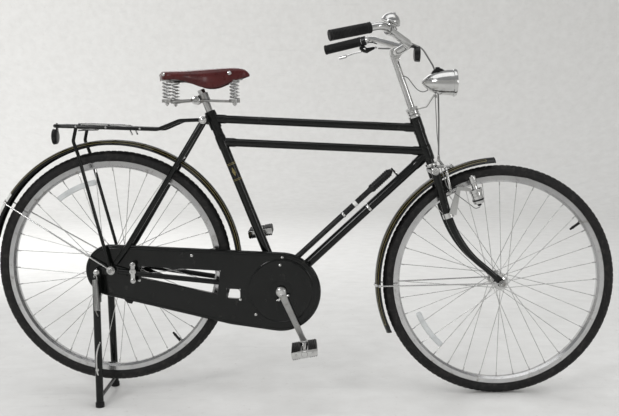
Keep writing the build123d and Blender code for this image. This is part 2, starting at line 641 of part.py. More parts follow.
PIVOT = REAR_HUB + Vector(STAND_PIVOT[0], 0, STAND_PIVOT[1])
with BuildPart() as stand_bracket:
    for side in (-1, 1):
        plate = sorted((side * BRACKET_FACE, side * (BRACKET_FACE + PLATE)))
        with BuildSketch(Plane(origin=(0, plate[1], 0), x_dir=(1, 0, 0), z_dir=(0, -1, 0))) as link:
            with Locations((REAR_HUB.X, REAR_HUB.Z), (PIVOT.X, PIVOT.Z)):
                Circle(12.0)
            make_hull()
        extrude(link.sketch, amount=PLATE)
        across_disc(REAR_HUB, *plate, AXLE + SEAT, mode=Mode.SUBTRACT)
        pin = sorted((side * (BRACKET_FACE + PLATE), side * (LEG_TOP_OUT - 5.0)))
        across_disc(PIVOT, *pin, STAND_PIN)
save(stand_bracket, "stand_bracket")

with BuildPart() as brake_arm:
    plate = (DRIVER_END + 5.0, DRIVER_END + 8.0)
    upright_plate(on_chain_line([(-14, -14.0), (8, -15.0), (128, -29.0), (134, -16.3), (10, 17.4)]), *plate)
    across_disc(REAR_HUB, *plate, 8.1, mode=Mode.SUBTRACT)
save(brake_arm, "brake_arm")

# ---------------------------------------------------------------- rear stand
LEG_STRAP = (LEG_TOP_OUT - 12.5, LEG_TOP_OUT - 6.5)
BRACE_HEIGHT = 27.0
FOOT = 12.5

with BuildPart() as stand:
    for side in (-1, 1):
        foot = place(STAND_PIVOT[0] + STAND_LEAN, side * FOOT_OUT, 0)
        knee = Vector(PIVOT.X, side * LEG_TOP_OUT, PIVOT.Z - 35.0)
        rod(foot + Vector(0, 0, 12.0), knee, LEG)
        rod(foot, foot + Vector(0, 0, 14.0), FOOT)
        strap = sorted((side * LEG_STRAP[0], side * LEG_STRAP[1]))
        top = PIVOT.X - REAR_X
        upright_plate([(top - 11, PIVOT.Z), (top - 11, PIVOT.Z - 90), (top + 11, PIVOT.Z - 90),
                       (top + 11, PIVOT.Z)], *strap)
        across_disc(PIVOT, *strap, 11.0)
        across_disc(PIVOT, *strap, STAND_PIN + FIT, mode=Mode.SUBTRACT)
    brace = STAND_PIVOT[0] + STAND_LEAN
    rod(place(brace, -FOOT_OUT, BRACE_HEIGHT), place(brace, FOOT_OUT, BRACE_HEIGHT), 6.0)
save(stand, "stand")

# ---------------------------------------------------------------- cranks and pedals
CRANK_FACE = 58.0
CRANK_WIDTH = 13.0
CRANK_TIP = Vector(cos(radians(CRANK_ANGLE)), 0, sin(radians(CRANK_ANGLE))) * CRANK_LENGTH
SPINDLE = 5.0
PEDAL_INNER = 84.0
PEDAL_OUTER = 184.0
PEDAL_PLATE = 3.0
PEDAL_HALF = 38.0
BLOCK_HEIGHT = 26.0
PEDAL_TILT = 9.5             # pedals rest with their front edges raised

with BuildPart() as cranks:
    across_disc(BRACKET, -CRANK_FACE - CRANK_WIDTH, CRANK_FACE + CRANK_WIDTH, CRANK_AXLE)
    for side in (-1, 1):
        tip = BRACKET - CRANK_TIP * side
        arm = sorted((side * CRANK_FACE, side * (CRANK_FACE + CRANK_WIDTH)))
        across_disc(BRACKET, *arm, 16.0)
        across_disc(tip, *arm, 12.0)
        run = (tip - BRACKET).normalized()
        rise = Vector(-run.Z, 0, run.X)
        near, far = BRACKET + run * 10, tip
        corners = [near + rise * 11, near - rise * 11, far - rise * 8.5, far + rise * 8.5]
        upright_plate([(c.X - REAR_X, c.Z) for c in corners], *arm)
        spindle = sorted((side * (CRANK_FACE + CRANK_WIDTH), side * (PEDAL_OUTER - 1.0)))
        across_disc(tip, *spindle, SPINDLE)
        across_disc(BRACKET + Vector(16, 0, -6), side * (CRANK_FACE + 3), side * (CRANK_FACE + 10), 4.0)
save(cranks, "cranks")


def tilted(corners):
    """Plate corners about a pedal's spindle, turned to the pedal's resting tilt."""
    turn = radians(PEDAL_TILT)
    return [(along * cos(turn) - rise * sin(turn), along * sin(turn) + rise * cos(turn))
            for along, rise in corners]


for name, side in (("right", -1), ("left", 1)):
    tip = BRACKET - CRANK_TIP * side
    inner = sorted((side * PEDAL_INNER, side * (PEDAL_INNER + PEDAL_PLATE)))
    outer = sorted((side * (PEDAL_OUTER - PEDAL_PLATE), side * PEDAL_OUTER))
    with BuildPart() as pedal_cage:
        across_disc(tip, *sorted((side * PEDAL_INNER, side * PEDAL_OUTER)), 9.0)
        for plate in (inner, outer):
            upright_plate(tilted([(-PEDAL_HALF, -10), (-PEDAL_HALF, 10), (-8, 12), (8, 12), (PEDAL_HALF, 10),
                                  (PEDAL_HALF, -10), (8, -12), (-8, -12)]), *plate, origin=tip)
        across_disc(tip, *sorted((side * PEDAL_INNER, side * PEDAL_OUTER)), SPINDLE + FIT,
                    mode=Mode.SUBTRACT)
    save(pedal_cage, f"{name}_pedal")
    with BuildPart() as pedal_blocks:
        blocks = sorted((side * (PEDAL_INNER + PEDAL_PLATE), side * (PEDAL_OUTER - PEDAL_PLATE)))
        for low in (1 - PEDAL_HALF, 12):
            high = low + PEDAL_HALF - 13
            half = BLOCK_HEIGHT / 2
            block = [(low, -half), (low, half), (high, half), (high, -half)]
            upright_plate(tilted(block), *blocks, origin=tip)
        fillet(pedal_blocks.edges().filter_by(Axis.Y), 4.0)
    save(pedal_blocks, f"{name}_pedal_rubbers")

# ---------------------------------------------------------------- wheels
RIM_OUTER = TYRE_RADIUS - 31.5
RIM_INNER = RIM_OUTER - 19.5
RIM_HALF = 13.5
SPOKES = 36
SPOKE = 1.0
CROSSES = 3
HUB_BORE = AXLE + FIT
HUBS = {
    "front": (FRONT_HUB, 20.0, (-33.0, 33.0), 13.0, (-38.0, 38.0)),
    "rear": (REAR_HUB, 31.0, (-24.0, 30.0), 23.0, (-DRIVER_END, DRIVER_END)),
}

for name, (hub, flange, flange_out, barrel, ends) in HUBS.items():
    with BuildPart() as tyre:
        with BuildSketch(wheel_section(hub)) as casing:
            with Locations((TYRE_RADIUS - TYRE_SECTION, 0)):
                Circle(TYRE_SECTION)
                Circle(TYRE_SECTION - TYRE_WALL, mode=Mode.SUBTRACT)
            with Locations((RIM_OUTER - 9.8, 0)):
                Rectangle(20.0, 60.0, mode=Mode.SUBTRACT)
        spin(casing, hub)
    save(tyre, f"{name}_tyre")

    with BuildPart() as rim:
        well = RIM_OUTER - 11.0
        spin_corners(hub, [(RIM_INNER, -6), (RIM_INNER, 6), (RIM_INNER + 6, RIM_HALF), (RIM_OUTER, RIM_HALF),
                           (RIM_OUTER, RIM_HALF - 2), (well, RIM_HALF - 3), (well - 5, 5), (well - 5, -5),
                           (well, -RIM_HALF + 3), (RIM_OUTER, -RIM_HALF + 2), (RIM_OUTER, -RIM_HALF),
                           (RIM_INNER + 6, -RIM_HALF)])
    save(rim, f"{name}_rim")

    with BuildPart() as hub_shell:
        right, left = flange_out
        low, high = ends
        rim_edge = flange + 4.0
        neck = 15.0 if name == "rear" else 11.0
        web = flange - 3.0
        spin_corners(hub, [(HUB_BORE, low), (neck, low), (neck, right - 4), (web, right - 1.5),
                           (rim_edge, right - 1.5), (rim_edge, right + 1.5), (web, right + 1.5),
                           (barrel, right + 4), (barrel, left - 4), (web, left - 1.5), (rim_edge, left - 1.5),
                           (rim_edge, left + 1.5), (web, left + 1.5), (neck, left + 4), (neck, high),
                           (HUB_BORE, high)])
    save(hub_shell, f"{name}_hub")

    with BuildPart() as spokes:
        for index in range(SPOKES):
            turn = radians(index * 360.0 / SPOKES)
            left_side = index % 2
            leading = (index // 2) % 2
            lean = radians(CROSSES * 720.0 / SPOKES) * (1 if leading else -1)
            out = flange_out[left_side] + (3.4 if leading else -3.4)
            inner = hub + Vector(cos(turn + lean) * flange, out, sin(turn + lean) * flange)
            outer = hub + Vector(cos(turn), 0, sin(turn)) * (RIM_INNER - 0.4)
            rod(inner, outer + ACROSS * (1.5 if left_side else -1.5), SPOKE)
    save(spokes, f"{name}_spokes")

# ---------------------------------------------------------------- fork
BLADE = [(1.0, 38.0, 1.0), (0.85, 41.0, 0.701), (0.747, 43.0, 0.523), (0.629, 44.5, 0.388),
         (0.386, 46.0, 0.2085), (0.206, 46.5, 0.118), (0.093, 47.0, 0.0555)]
CROWN_RADIUS = 12.9
CROWN_HALF = 48.5
RACE = 16.5
LOCKNUT = 17.5
LOCKNUT_HEIGHT = 21.0
LAMP_STRAP = 3.0

with BuildPart() as fork:
    for side in (-1, 1):
        with BuildLine() as blade_line:
            Spline(*[down_fork(along, side * out, height) for along, out, height in BLADE])
        line = blade_line.line
        with BuildSketch(Plane(origin=line @ 0, x_dir=(0, 1, 0), z_dir=line % 0)) as upper:
            Ellipse(10.0, 13.0)
        with BuildSketch(Plane(origin=line @ 1, x_dir=(0, 1, 0), z_dir=line % 1)) as lower:
            Ellipse(6.0, 8.5)
        sweep(sections=[upper.sketch, lower.sketch], path=line, multisection=True)
        plate = sorted((side * FORK_END_FACE, side * (FORK_END_FACE + PLATE)))
        across_disc(FRONT_HUB, *plate, 12.0)
        upright_plate([(-27, 16), (-14, 29), (9, 8), (-7, -9)], *plate, origin=FRONT_HUB)
    across_disc(CROWN, -CROWN_HALF, CROWN_HALF, CROWN_RADIUS)
    rod(HEAD_LOW - HEAD_UP * 14.0, HEAD_LOW - HEAD_UP * 0.3, RACE)
    rod(HEAD_LOW - HEAD_UP * 14.0, HEAD_TOP + HEAD_UP * (CUP + LOCKNUT_HEIGHT - 2), STEERER)
    rod(HEAD_LOW + HEAD_UP * 10.0, HEAD_TOP + HEAD_UP * (CUP + LOCKNUT_HEIGHT), STEERER_BORE,
        mode=Mode.SUBTRACT)
    across_disc(FRONT_HUB, -60, 60, AXLE + SEAT, mode=Mode.SUBTRACT)
save(fork, "fork")

LOCKNUT_START = HEAD_TOP + HEAD_UP * (CUP + 0.3)
with BuildPart() as headset_locknut:
    rod(LOCKNUT_START, LOCKNUT_START + HEAD_UP * 8.0, LOCKNUT, STEERER)
    rod(LOCKNUT_START + HEAD_UP * (8.0 + LAMP_STRAP), LOCKNUT_START + HEAD_UP * LOCKNUT_HEIGHT, LOCKNUT,
        STEERER)
save(headset_locknut, "headset_locknut")

# ---------------------------------------------------------------- stem, bar and what is on it
BAR_CENTRE = HEAD_TOP + HEAD_UP * (STEM_RISE - 1.0) + Vector(10.0, 0, 0)
BAR_POINTS = [(0.0, 0.0, 0.0), (0.0, 33.0, 0.0), (35.0, 62.0, 18.0), (-58.0, 186.0, 60.0),
              (-202.0, BAR_END_OUT, 30.0)]
BAR_RADII = [24.0, 20.0, 42.0]
BAR_CLAMP = 17.0
STEM_DEPTH = 60.0


def bar_points(side):
    """The corners of the handlebar's centre line on one side, from the stem to the grip's end."""
    return [BAR_CENTRE + Vector(along, side * out, rise) for along, out, rise in BAR_POINTS]


def bar_line(side):
    """The handlebar's centre line from the stem out to one grip."""
    run = bar_points(side)
    with BuildLine() as line:
        FilletPolyline(*run, radius=BAR_RADII)
    return line.line


def on_bar(side, share, length, radius):
    """Add a sleeve round the bar, centred a share of the way along one side."""
    line = bar_line(side)
    centre, way = line @ share, line % share
    rod(centre - way * (length / 2), centre + way * (length / 2), radius, BAR + FIT)


with BuildPart() as stem:
    rod(HEAD_TOP - HEAD_UP * STEM_DEPTH, HEAD_TOP + HEAD_UP * (STEM_RISE - 6.0), STEERER_BORE - SEAT)
    across_disc(BAR_CENTRE, -19.0, 19.0, BAR_CLAMP)
    across_disc(BAR_CENTRE, -19.0, 19.0, BAR + FIT, mode=Mode.SUBTRACT)
save(stem, "stem")

with BuildPart() as handlebar:
    for side in (-1, 1):
        line = bar_line(side)
        with BuildSketch(Plane(origin=line @ 0, z_dir=line % 0)) as section:
            Circle(BAR)
        sweep(section.sketch, path=line)
save(handlebar, "handlebar")

for name, side in (("right", -1), ("left", 1)):
    bar_bend, bar_end = bar_points(side)[-2:]
    way = (bar_bend - bar_end).normalized()
    with BuildPart() as grip:
        rod(bar_end - way * 4.0, bar_end + way * GRIP_LENGTH, GRIP)
        rod(bar_end - way * SEAT, bar_end + way * 2 * GRIP_LENGTH, BAR + FIT, mode=Mode.SUBTRACT)
        fillet(grip.edges().filter_by(GeomType.CIRCLE).sort_by(Axis.X)[0], 3.0)
    save(grip, f"{name}_grip")

with BuildPart() as brake_lever:
    left_bend, left_end = bar_points(1)[-2:]
    way = (left_bend - left_end).normalized()
    ring = left_end + way * (GRIP_LENGTH + 2.0)
    rod(ring, ring + way * 14.0, BAR + 4.0)
    bent_rod([ring + way * 7.0 + Vector(0, 0, -10), ring + Vector(14, 0, -27), ring + Vector(42, -7, -25)],
             [8.0], 6.0)
    bent_rod([ring + Vector(20, 0, -27), ring + Vector(-20, 10, -33), ring + Vector(-72, 24, -50)],
             [60.0], 4.0)
    rod(left_end, ring + way * 16.0, BAR + FIT, mode=Mode.SUBTRACT)
save(brake_lever, "brake_lever")

BELL_SHARE = 0.51
BELL_RADIUS = 28.0
BELL_UP = upward(67.0)
with BuildPart() as bell:
    on_bar(-1, BELL_SHARE, 12.0, BAR + 3.5)
    foot = bar_line(-1) @ BELL_SHARE
    rod(foot + Vector(0, 0, BAR + 1.5), foot + Vector(0, 0, BAR + 1.5) + BELL_UP * 8.0, 6.0)
    base = foot + Vector(0, 0, BAR + 1.5) + BELL_UP * 6.0
    with BuildSketch(Plane(origin=base, x_dir=upward(-23.0), z_dir=(0, -1, 0))) as dome:
        with BuildLine():
            Polyline((0, 0), (BELL_RADIUS, 0), (BELL_RADIUS, 4))
            ThreePointArc((BELL_RADIUS, 4), (BELL_RADIUS * 0.74, 22), (4, 30))
            Polyline((4, 30), (4, 33), (0, 33), (0, 0))
        make_face()
    revolve(dome.sketch, axis=Axis(base, BELL_UP))
    add(handlebar.part, mode=Mode.SUBTRACT)
save(bell, "bell")

with BuildPart() as front_reflector:
    rod(BAR_CENTRE + Vector(56, 0, -4), BAR_CENTRE + Vector(72, 0, -4), 24.0)
    rod(BAR_CENTRE + Vector(8, -24, 2), BAR_CENTRE + Vector(58, -12, -4), 4.0)
    add(handlebar.part, mode=Mode.SUBTRACT)
    add(stem.part, mode=Mode.SUBTRACT)
save(front_reflector, "front_reflector")

LAMP = HEAD_TOP + Vector(20.0, 0, 103.0)
LAMP_PROFILE = [(0, 0), (3, 6), (15, 19), (36, 31), (66, 37), (94, 38), (96, 40), (104, 40), (104, 36),
                (101, 0)]
with BuildPart() as headlamp:
    with BuildSketch(Plane(origin=LAMP, x_dir=(1, 0, 0), z_dir=(0, -1, 0))) as shell:
        with BuildLine():
            Polyline(*LAMP_PROFILE, close=True)
        make_face()
    revolve(shell.sketch, axis=Axis(LAMP, (1, 0, 0)))
save(headlamp, "headlamp")

STRAP_START = LOCKNUT_START + HEAD_UP * (8.0 + 0.05)
with BuildPart() as lamp_bracket:
    rod(STRAP_START, STRAP_START + HEAD_UP * (LAMP_STRAP - 0.1), LOCKNUT, STEERER)
    upright_plate([(8, 23), (36, 29.5), (60, 66), (56.5, 68.5), (34, 33), (7, 26.5)], -11.0, 11.0,
                  origin=HEAD_TOP)
    rod(HEAD_TOP, HEAD_TOP + HEAD_UP * 60, STEERER, mode=Mode.SUBTRACT)
    add(headlamp.part, mode=Mode.SUBTRACT)
    add(headset_locknut.part, mode=Mode.SUBTRACT)
save(lamp_bracket, "lamp_bracket")

# ---------------------------------------------------------------- front brake, cable and dynamo
BRAKE_BOLT = (CROWN + Vector(5.0, 0, 11.0), CROWN + Vector(51.0, 0, 11.0))
PAD = 5.0
PAD_OUT = RIM_HALF + 4.0 + PAD
PAD_ANGLE = 119.44           # seen from the front axle, above straight ahead
PAD_AT = FRONT_HUB + upward(PAD_ANGLE) * (RIM_OUTER - 8.2)
PAD_RUN = upward(PAD_ANGLE - 90.0)


def beside_crown(along, out, rise):
    """A point given from the middle of the fork crown."""
    return CROWN + Vector(along, out, rise)


with BuildPart() as front_brake:
    rod(*BRAKE_BOLT, 4.0)
    for side, along in ((-1, 34.0), (1, 45.0)):
        pad = PAD_AT + ACROSS * side * PAD_OUT
        bent_rod([beside_crown(along, 0, 11), beside_crown(along, side * 35.0, 6),
                  beside_crown(along + 8, side * 37.5, -35), pad + Vector(0, side * 11.0, 6.5), pad],
                 [14.0, 14.0, 6.0], 5.0)
        rod(pad - PAD_RUN * 25.0, pad + PAD_RUN * 25.0, PAD)
    add(fork.part, mode=Mode.SUBTRACT)
    rod(beside_crown(43, 33.0, 5), beside_crown(23, 37.0, 29), 4.0)
save(front_brake, "front_brake")

CABLE = 2.5
CABLE_FROM_LEVER = [(-34.0, 181.0, 30.0), (-2.0, 150.0, 26.0), (42.0, 92.0, 44.0), (88.0, 54.0, 18.0)]
CABLE_TO_BRAKE = [(8.0, 46.0, 312.0), (21.0, 41.0, 230.0), (23.0, 38.0, 150.0), (23.0, 37.0, 29.5)]
CABLE_BENDS = [40.0, 40.0, 40.0, 60.0, 80.0, 200.0]
with BuildPart() as brake_cable:
    upper = [BAR_CENTRE + Vector(*point) for point in CABLE_FROM_LEVER]
    bent_rod(upper + [beside_crown(*point) for point in CABLE_TO_BRAKE], CABLE_BENDS, CABLE)
    add(front_brake.part, mode=Mode.SUBTRACT)
save(brake_cable, "brake_cable")

DYNAMO_OUT = -50.0
DYNAMO_UP = upward(106.4)
DYNAMO_BODY = 17.0


def dynamo_point(radial):
    """A point on the dynamo's axis at a distance outside the tyre's tread."""
    return FRONT_HUB + DYNAMO_UP * (TYRE_RADIUS + radial) + ACROSS * DYNAMO_OUT


with BuildPart() as dynamo:
    rod(dynamo_point(-102.0), dynamo_point(-56.0), DYNAMO_BODY)
    rod(dynamo_point(-56.0), dynamo_point(-38.0), 8.0)
    rod(dynamo_point(-38.0), dynamo_point(-16.0), 11.0)
save(dynamo, "dynamo")

CLAMP = dynamo_point(-65.0)
with BuildPart() as dynamo_bracket:
    blade_at = down_fork(0.80, -42.0, 0.61)
    blade_way = (down_fork(0.747, -43.0, 0.523) - down_fork(0.85, -41.0, 0.701)).normalized()
    rod(blade_at - blade_way * 8, blade_at + blade_way * 8, 17.0)
    foot = (blade_at.X - CLAMP.X, blade_at.Z - CLAMP.Z)
    upright_plate([(foot[0] - 1, foot[1] + 7), (foot[0] + 21, foot[1] + 2), (-48, 5), (-8, 1), (-6, 11),
                   (-58, 17)], -10.0, -6.0, origin=CLAMP)
    rod(dynamo_point(-66.0), dynamo_point(-57.0), DYNAMO_BODY + 2.5)
    rod(dynamo_point(-116.0), dynamo_point(-46.0), DYNAMO_BODY, mode=Mode.SUBTRACT)
    add(fork.part, mode=Mode.SUBTRACT)
save(dynamo_bracket, "dynamo_bracket")

WIRE_AT_DYNAMO = [(0, 0, 2.0), (2.0, -4.0, -10.0), (-14.0, -14.0, -14.0), (-42.0, -14.0, 8.0)]
WIRE_UP_FORK = [(33.0, -62.0, -48.0), (12.0, -56.0, 20.0)]
WIRE_TO_LAMP = [(44.0, -24.0, -150.0), (40.0, -18.0, -60.0), (40.0, -10.0, -30.0)]
with BuildPart() as dynamo_wire:
    foot = dynamo_point(-102.0)
    route = [foot + Vector(*point) for point in WIRE_AT_DYNAMO]
    route += [beside_crown(*point) for point in WIRE_UP_FORK]
    route += [LAMP + Vector(*point) for point in WIRE_TO_LAMP]
    bent_rod(route, [5.0, 12.0, 15.0, 30.0, 40.0, 40.0, 40.0], 1.3)
    add(dynamo.part, mode=Mode.SUBTRACT)
    add(headlamp.part, mode=Mode.SUBTRACT)
    add(lamp_bracket.part, mode=Mode.SUBTRACT)
save(dynamo_wire, "dynamo_wire")

# ---------------------------------------------------------------- front axle and mudguard stays
FRONT_STAY_FACE = FORK_END_FACE + PLATE + SEAT
FRONT_NUT_FACE = FRONT_STAY_FACE + 2 * GUARD_STAY + SEAT
with BuildPart() as front_axle:
    across_disc(FRONT_HUB, -FRONT_AXLE_HALF, FRONT_AXLE_HALF, AXLE)
    for side in (-1, 1):
        nut = sorted((side * FRONT_NUT_FACE, side * (FRONT_NUT_FACE + NUT_LENGTH)))
        across_disc(FRONT_HUB, *nut, NUT)
        spacer = sorted((side * 38.3, side * (FORK_END_FACE - 0.1)))
        across_disc(FRONT_HUB, *spacer, 8.0)
save(front_axle, "front_axle")

with BuildPart() as front_mudguard_stays:
    guard_stays(FRONT_HUB, FRONT_GUARD_STAYS, FRONT_GUARD_RADIUS, FRONT_STAY_FACE)
    add(fork.part, mode=Mode.SUBTRACT)
save(front_mudguard_stays, "front_mudguard_stays")
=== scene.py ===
"""Looks of the utility bicycle: finishes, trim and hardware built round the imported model.

Lengths in this file are millimetres in the bicycle's own frame: X forward, Y to the rider's
left and Z up from the floor. The helpers turn them into metres for Blender.
"""
import json
import logging
import math
from collections.abc import Callable, Sequence
from dataclasses import dataclass
from enum import Enum

import bpy
from mathutils import Matrix, Vector


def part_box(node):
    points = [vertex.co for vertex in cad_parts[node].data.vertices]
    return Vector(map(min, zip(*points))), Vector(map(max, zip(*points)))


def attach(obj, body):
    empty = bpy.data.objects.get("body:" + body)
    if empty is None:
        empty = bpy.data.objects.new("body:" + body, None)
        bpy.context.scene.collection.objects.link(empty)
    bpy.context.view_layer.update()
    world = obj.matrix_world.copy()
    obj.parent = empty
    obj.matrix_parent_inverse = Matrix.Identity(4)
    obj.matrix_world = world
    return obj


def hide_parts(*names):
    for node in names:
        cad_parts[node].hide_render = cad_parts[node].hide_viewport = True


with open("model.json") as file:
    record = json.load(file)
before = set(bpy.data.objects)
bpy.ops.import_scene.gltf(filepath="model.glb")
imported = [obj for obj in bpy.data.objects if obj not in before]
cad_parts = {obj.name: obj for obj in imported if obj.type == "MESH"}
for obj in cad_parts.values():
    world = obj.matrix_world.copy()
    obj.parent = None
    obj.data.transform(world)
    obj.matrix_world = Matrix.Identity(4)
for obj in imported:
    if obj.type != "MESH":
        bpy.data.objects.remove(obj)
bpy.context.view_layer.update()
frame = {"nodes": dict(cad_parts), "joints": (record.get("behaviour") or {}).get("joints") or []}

MM = 0.001
TYRE_RADIUS = 356.0
LOG = logging.getLogger("bicycle")
Pair = tuple[float, float]
Piece = bpy.types.Object
Socket = bpy.types.NodeSocket
MIXED: dict[str, bpy.types.Material] = {}


# ------------------------------------------------------------------------------ finishes
class Grain(Enum):
    """The fine relief that a finish carries."""

    PEEL = "orange peel of stoved enamel"
    PLATED = "polish marks under plating"
    BRUSHED = "drawn or turned lines"
    CAST = "sand-cast skin"
    HIDE = "leather pores and creases"
    MOULDED = "spark-eroded mould skin"
    PRISM = "rows of small prisms"
    PLASTER = "trowelled floor"


@dataclass(frozen=True)
class Finish:
    """One surface finish, with its colour, gloss, relief and wear.

    Attributes:
        name: The material's name.
        colour: Main colour, linear.
        shade: Second colour that clouds through the main one.
        metallic: 1 for bare or plated metal.
        smooth: Roughness where the surface is cleanest.
        dull: Roughness where it is most handled or dusty.
        grain: The kind of relief.
        grain_size: Size of one feature of the relief.
        depth: Height of the relief.
        wear: Share of the surface that shows the worn colour.
        worn: Colour of worn or dusty places.
        coat: Weight of a clear coat.
        glow: Weight of light let through, for lenses.
        shine: How strongly a bare surface mirrors, 0.5 being usual.
        slot: The record's material slot meant for pieces of this finish.
    """

    name: str
    colour: tuple[float, float, float]
    shade: tuple[float, float, float]
    metallic: float = 0.0
    smooth: float = 0.2
    dull: float = 0.4
    grain: Grain = Grain.MOULDED
    grain_size: float = 1.0
    depth: float = 0.02
    wear: float = 0.12
    worn: tuple[float, float, float] = (0.09, 0.085, 0.08)
    coat: float = 0.0
    glow: float = 0.0
    shine: float = 0.5
    slot: str = ""

    def material(self) -> bpy.types.Material:
        """Return this finish's material, made on first use."""
        if self.name not in MIXED:
            MIXED[self.name] = FinishShop(self).build()
        return MIXED[self.name]


class FinishShop:
    """Wires up the nodes of one finish."""

    def __init__(self, finish: Finish) -> None:
        """Open an empty material for a finish.

        Args:
            finish: What the material has to look like.
        """
        self.finish = finish
        self.material = bpy.data.materials.new(finish.name)
        self.material.use_nodes = True
        self.nodes = self.material.node_tree.nodes
        self.links = self.material.node_tree.links
        self.nodes.clear()

    def add(self, kind: str, **settings: object) -> bpy.types.Node:
        """Add a node.

        Args:
            kind: The node's type name.
            **settings: Properties, or inputs by name with _ for a space.

        Returns:
            The new node.
        """
        node = self.nodes.new(kind)
        for key, value in settings.items():
            if hasattr(node, key):
                setattr(node, key, value)
            else:
                node.inputs[key.replace("_", " ")].default_value = value
        return node

    def ramp(self, source: Socket, low: float, high: float, bottom: float, top: float) -> Socket:
        """Stretch a value from one range to another.

        Args:
            source: The value.
            low: Value that becomes bottom.
            high: Value that becomes top.
            bottom: Least result.
            top: Greatest result.

        Returns:
            The stretched value.
        """
        node = self.add("ShaderNodeMapRange")
        for index, value in enumerate((low, high, bottom, top), 1):
            node.inputs[index].default_value = value
        self.links.new(source, node.inputs[0])
        return node.outputs[0]

    def noise(self, at: Socket, size: float, detail: float = 3.0) -> Socket:
        """Return a cloudy value whose features are about size millimetres across."""
        node = self.add("ShaderNodeTexNoise", Scale=1.0 / (size * MM), Detail=detail,
                        Roughness=0.55)
        self.links.new(at, node.inputs["Vector"])
        return node.outputs["Fac"]

    def cells(self, at: Socket, size: float, random: float) -> Socket:
        """Return the distance to the nearest cell's middle; size is a cell's width."""
        node = self.add("ShaderNodeTexVoronoi", Scale=1.0 / (size * MM), Randomness=random)
        self.links.new(at, node.inputs["Vector"])
        return node.outputs["Distance"]

    def mix(self, share: Socket, first: object, second: object) -> Socket:
        """Blend two colours.

        Args:
            share: 0 for the first, 1 for the second.
            first: A colour or a colour socket.
            second: A colour or a colour socket.

        Returns:
            The blended colour.
        """
        node = self.add("ShaderNodeMix", data_type="RGBA")
        self.links.new(share, node.inputs[0])
        for slot, colour in ((node.inputs[6], first), (node.inputs[7], second)):
            if isinstance(colour, Socket):
                self.links.new(colour, slot)
            else:
                slot.default_value = (*colour, 1.0)
        return node.outputs[2]

    def sum_of(self, first: Socket, second: Socket, weight: float) -> Socket:
        """Return first plus weight times second."""
        node = self.add("ShaderNodeMath", operation="MULTIPLY_ADD")
        node.inputs[1].default_value = weight
        self.links.new(second, node.inputs[0])
        self.links.new(first, node.inputs[2])
        return node.outputs[0]

    def relief(self, at: Socket) -> Socket:
        """Return the height map of the finish's grain, from about 0 to 1."""
        finish, size = self.finish, self.finish.grain_size
        if finish.grain in (Grain.BRUSHED, Grain.PLATED):
            turn = self.add("ShaderNodeMapping", vector_type="POINT")
            stretch = 0.06 if finish.grain is Grain.BRUSHED else 0.4
            turn.inputs["Scale"].default_value = (1.0, stretch, 1.0)
            self.links.new(at, turn.inputs["Vector"])
            return self.noise(turn.outputs[0], size, 4.0)
        if finish.grain is Grain.HIDE:
            pores = self.cells(at, size, 1.0)
            return self.sum_of(self.noise(at, size * 9.0, 5.0), pores, 0.5)
        if finish.grain is Grain.PRISM:
            return self.cells(at, size, 0.0)
        if finish.grain is Grain.CAST:
            return self.sum_of(self.noise(at, size, 6.0), self.cells(at, size * 1.7, 1.0), 0.35)
        if finish.grain is Grain.PLASTER:
            stretch = self.add("ShaderNodeMapping", vector_type="POINT")
            stretch.inputs["Scale"].default_value = (0.25, 1.6, 1.0)
            self.links.new(at, stretch.inputs["Vector"])
            return self.noise(stretch.outputs[0], size, 8.0)
        return self.noise(at, size, 4.0)

    def build(self) -> bpy.types.Material:
        """Wire the whole finish and return its material."""
        finish = self.finish
        place = self.add("ShaderNodeTexCoord")
        centre = self.add("ShaderNodeMapping", vector_type="POINT")
        centre.inputs["Location"].default_value = (0.37, 0.11, 0.23)
        self.links.new(place.outputs["Object"], centre.inputs["Vector"])
        at = centre.outputs[0]
        cloud = self.ramp(self.noise(at, 70.0, 5.0), 0.32, 0.68, 0.0, 1.0)
        smear = self.noise(at, 18.0, 6.0)
        fleck = self.noise(at, 2.6, 5.0)
        height = self.relief(at)
        colour = self.mix(cloud, finish.colour, finish.shade)
        rubbed = self.ramp(self.sum_of(smear, fleck, 0.35), 0.86 - finish.wear * 0.9, 0.92, 0.0,
                           1.0)
        colour = self.mix(rubbed, colour, finish.worn)
        # Low places of the relief are darkened: painted shade in the leather's pores and creases
        # and in the cast skin's pits; on the floor the same darkening draws its dark streaks.
        if finish.grain in (Grain.HIDE, Grain.CAST, Grain.PLASTER):
            dark = tuple(channel * (0.86 if finish.grain is Grain.PLASTER else 0.45)
                         for channel in finish.colour)
            colour = self.mix(self.ramp(height, 0.42, 0.2, 0.0, 0.7), colour, dark)
        gloss = self.ramp(self.sum_of(smear, fleck, 0.4), 0.45, 1.0, finish.smooth, finish.dull)
        bump = self.add("ShaderNodeBump", Strength=1.0, Distance=finish.depth * MM)
        self.links.new(height, bump.inputs["Height"])
        shader = self.add("ShaderNodeBsdfPrincipled", Metallic=finish.metallic)
        shader.inputs["Specular IOR Level"].default_value = finish.shine
        shader.inputs["Coat Weight"].default_value = finish.coat
        shader.inputs["Coat Roughness"].default_value = 0.05
        shader.inputs["Transmission Weight"].default_value = finish.glow
        self.links.new(colour, shader.inputs["Base Color"])
        self.links.new(gloss, shader.inputs["Roughness"])
        self.links.new(bump.outputs[0], shader.inputs["Normal"])
        end = self.add("ShaderNodeOutputMaterial")
        self.links.new(shader.outputs[0], end.inputs[0])
        return self.material


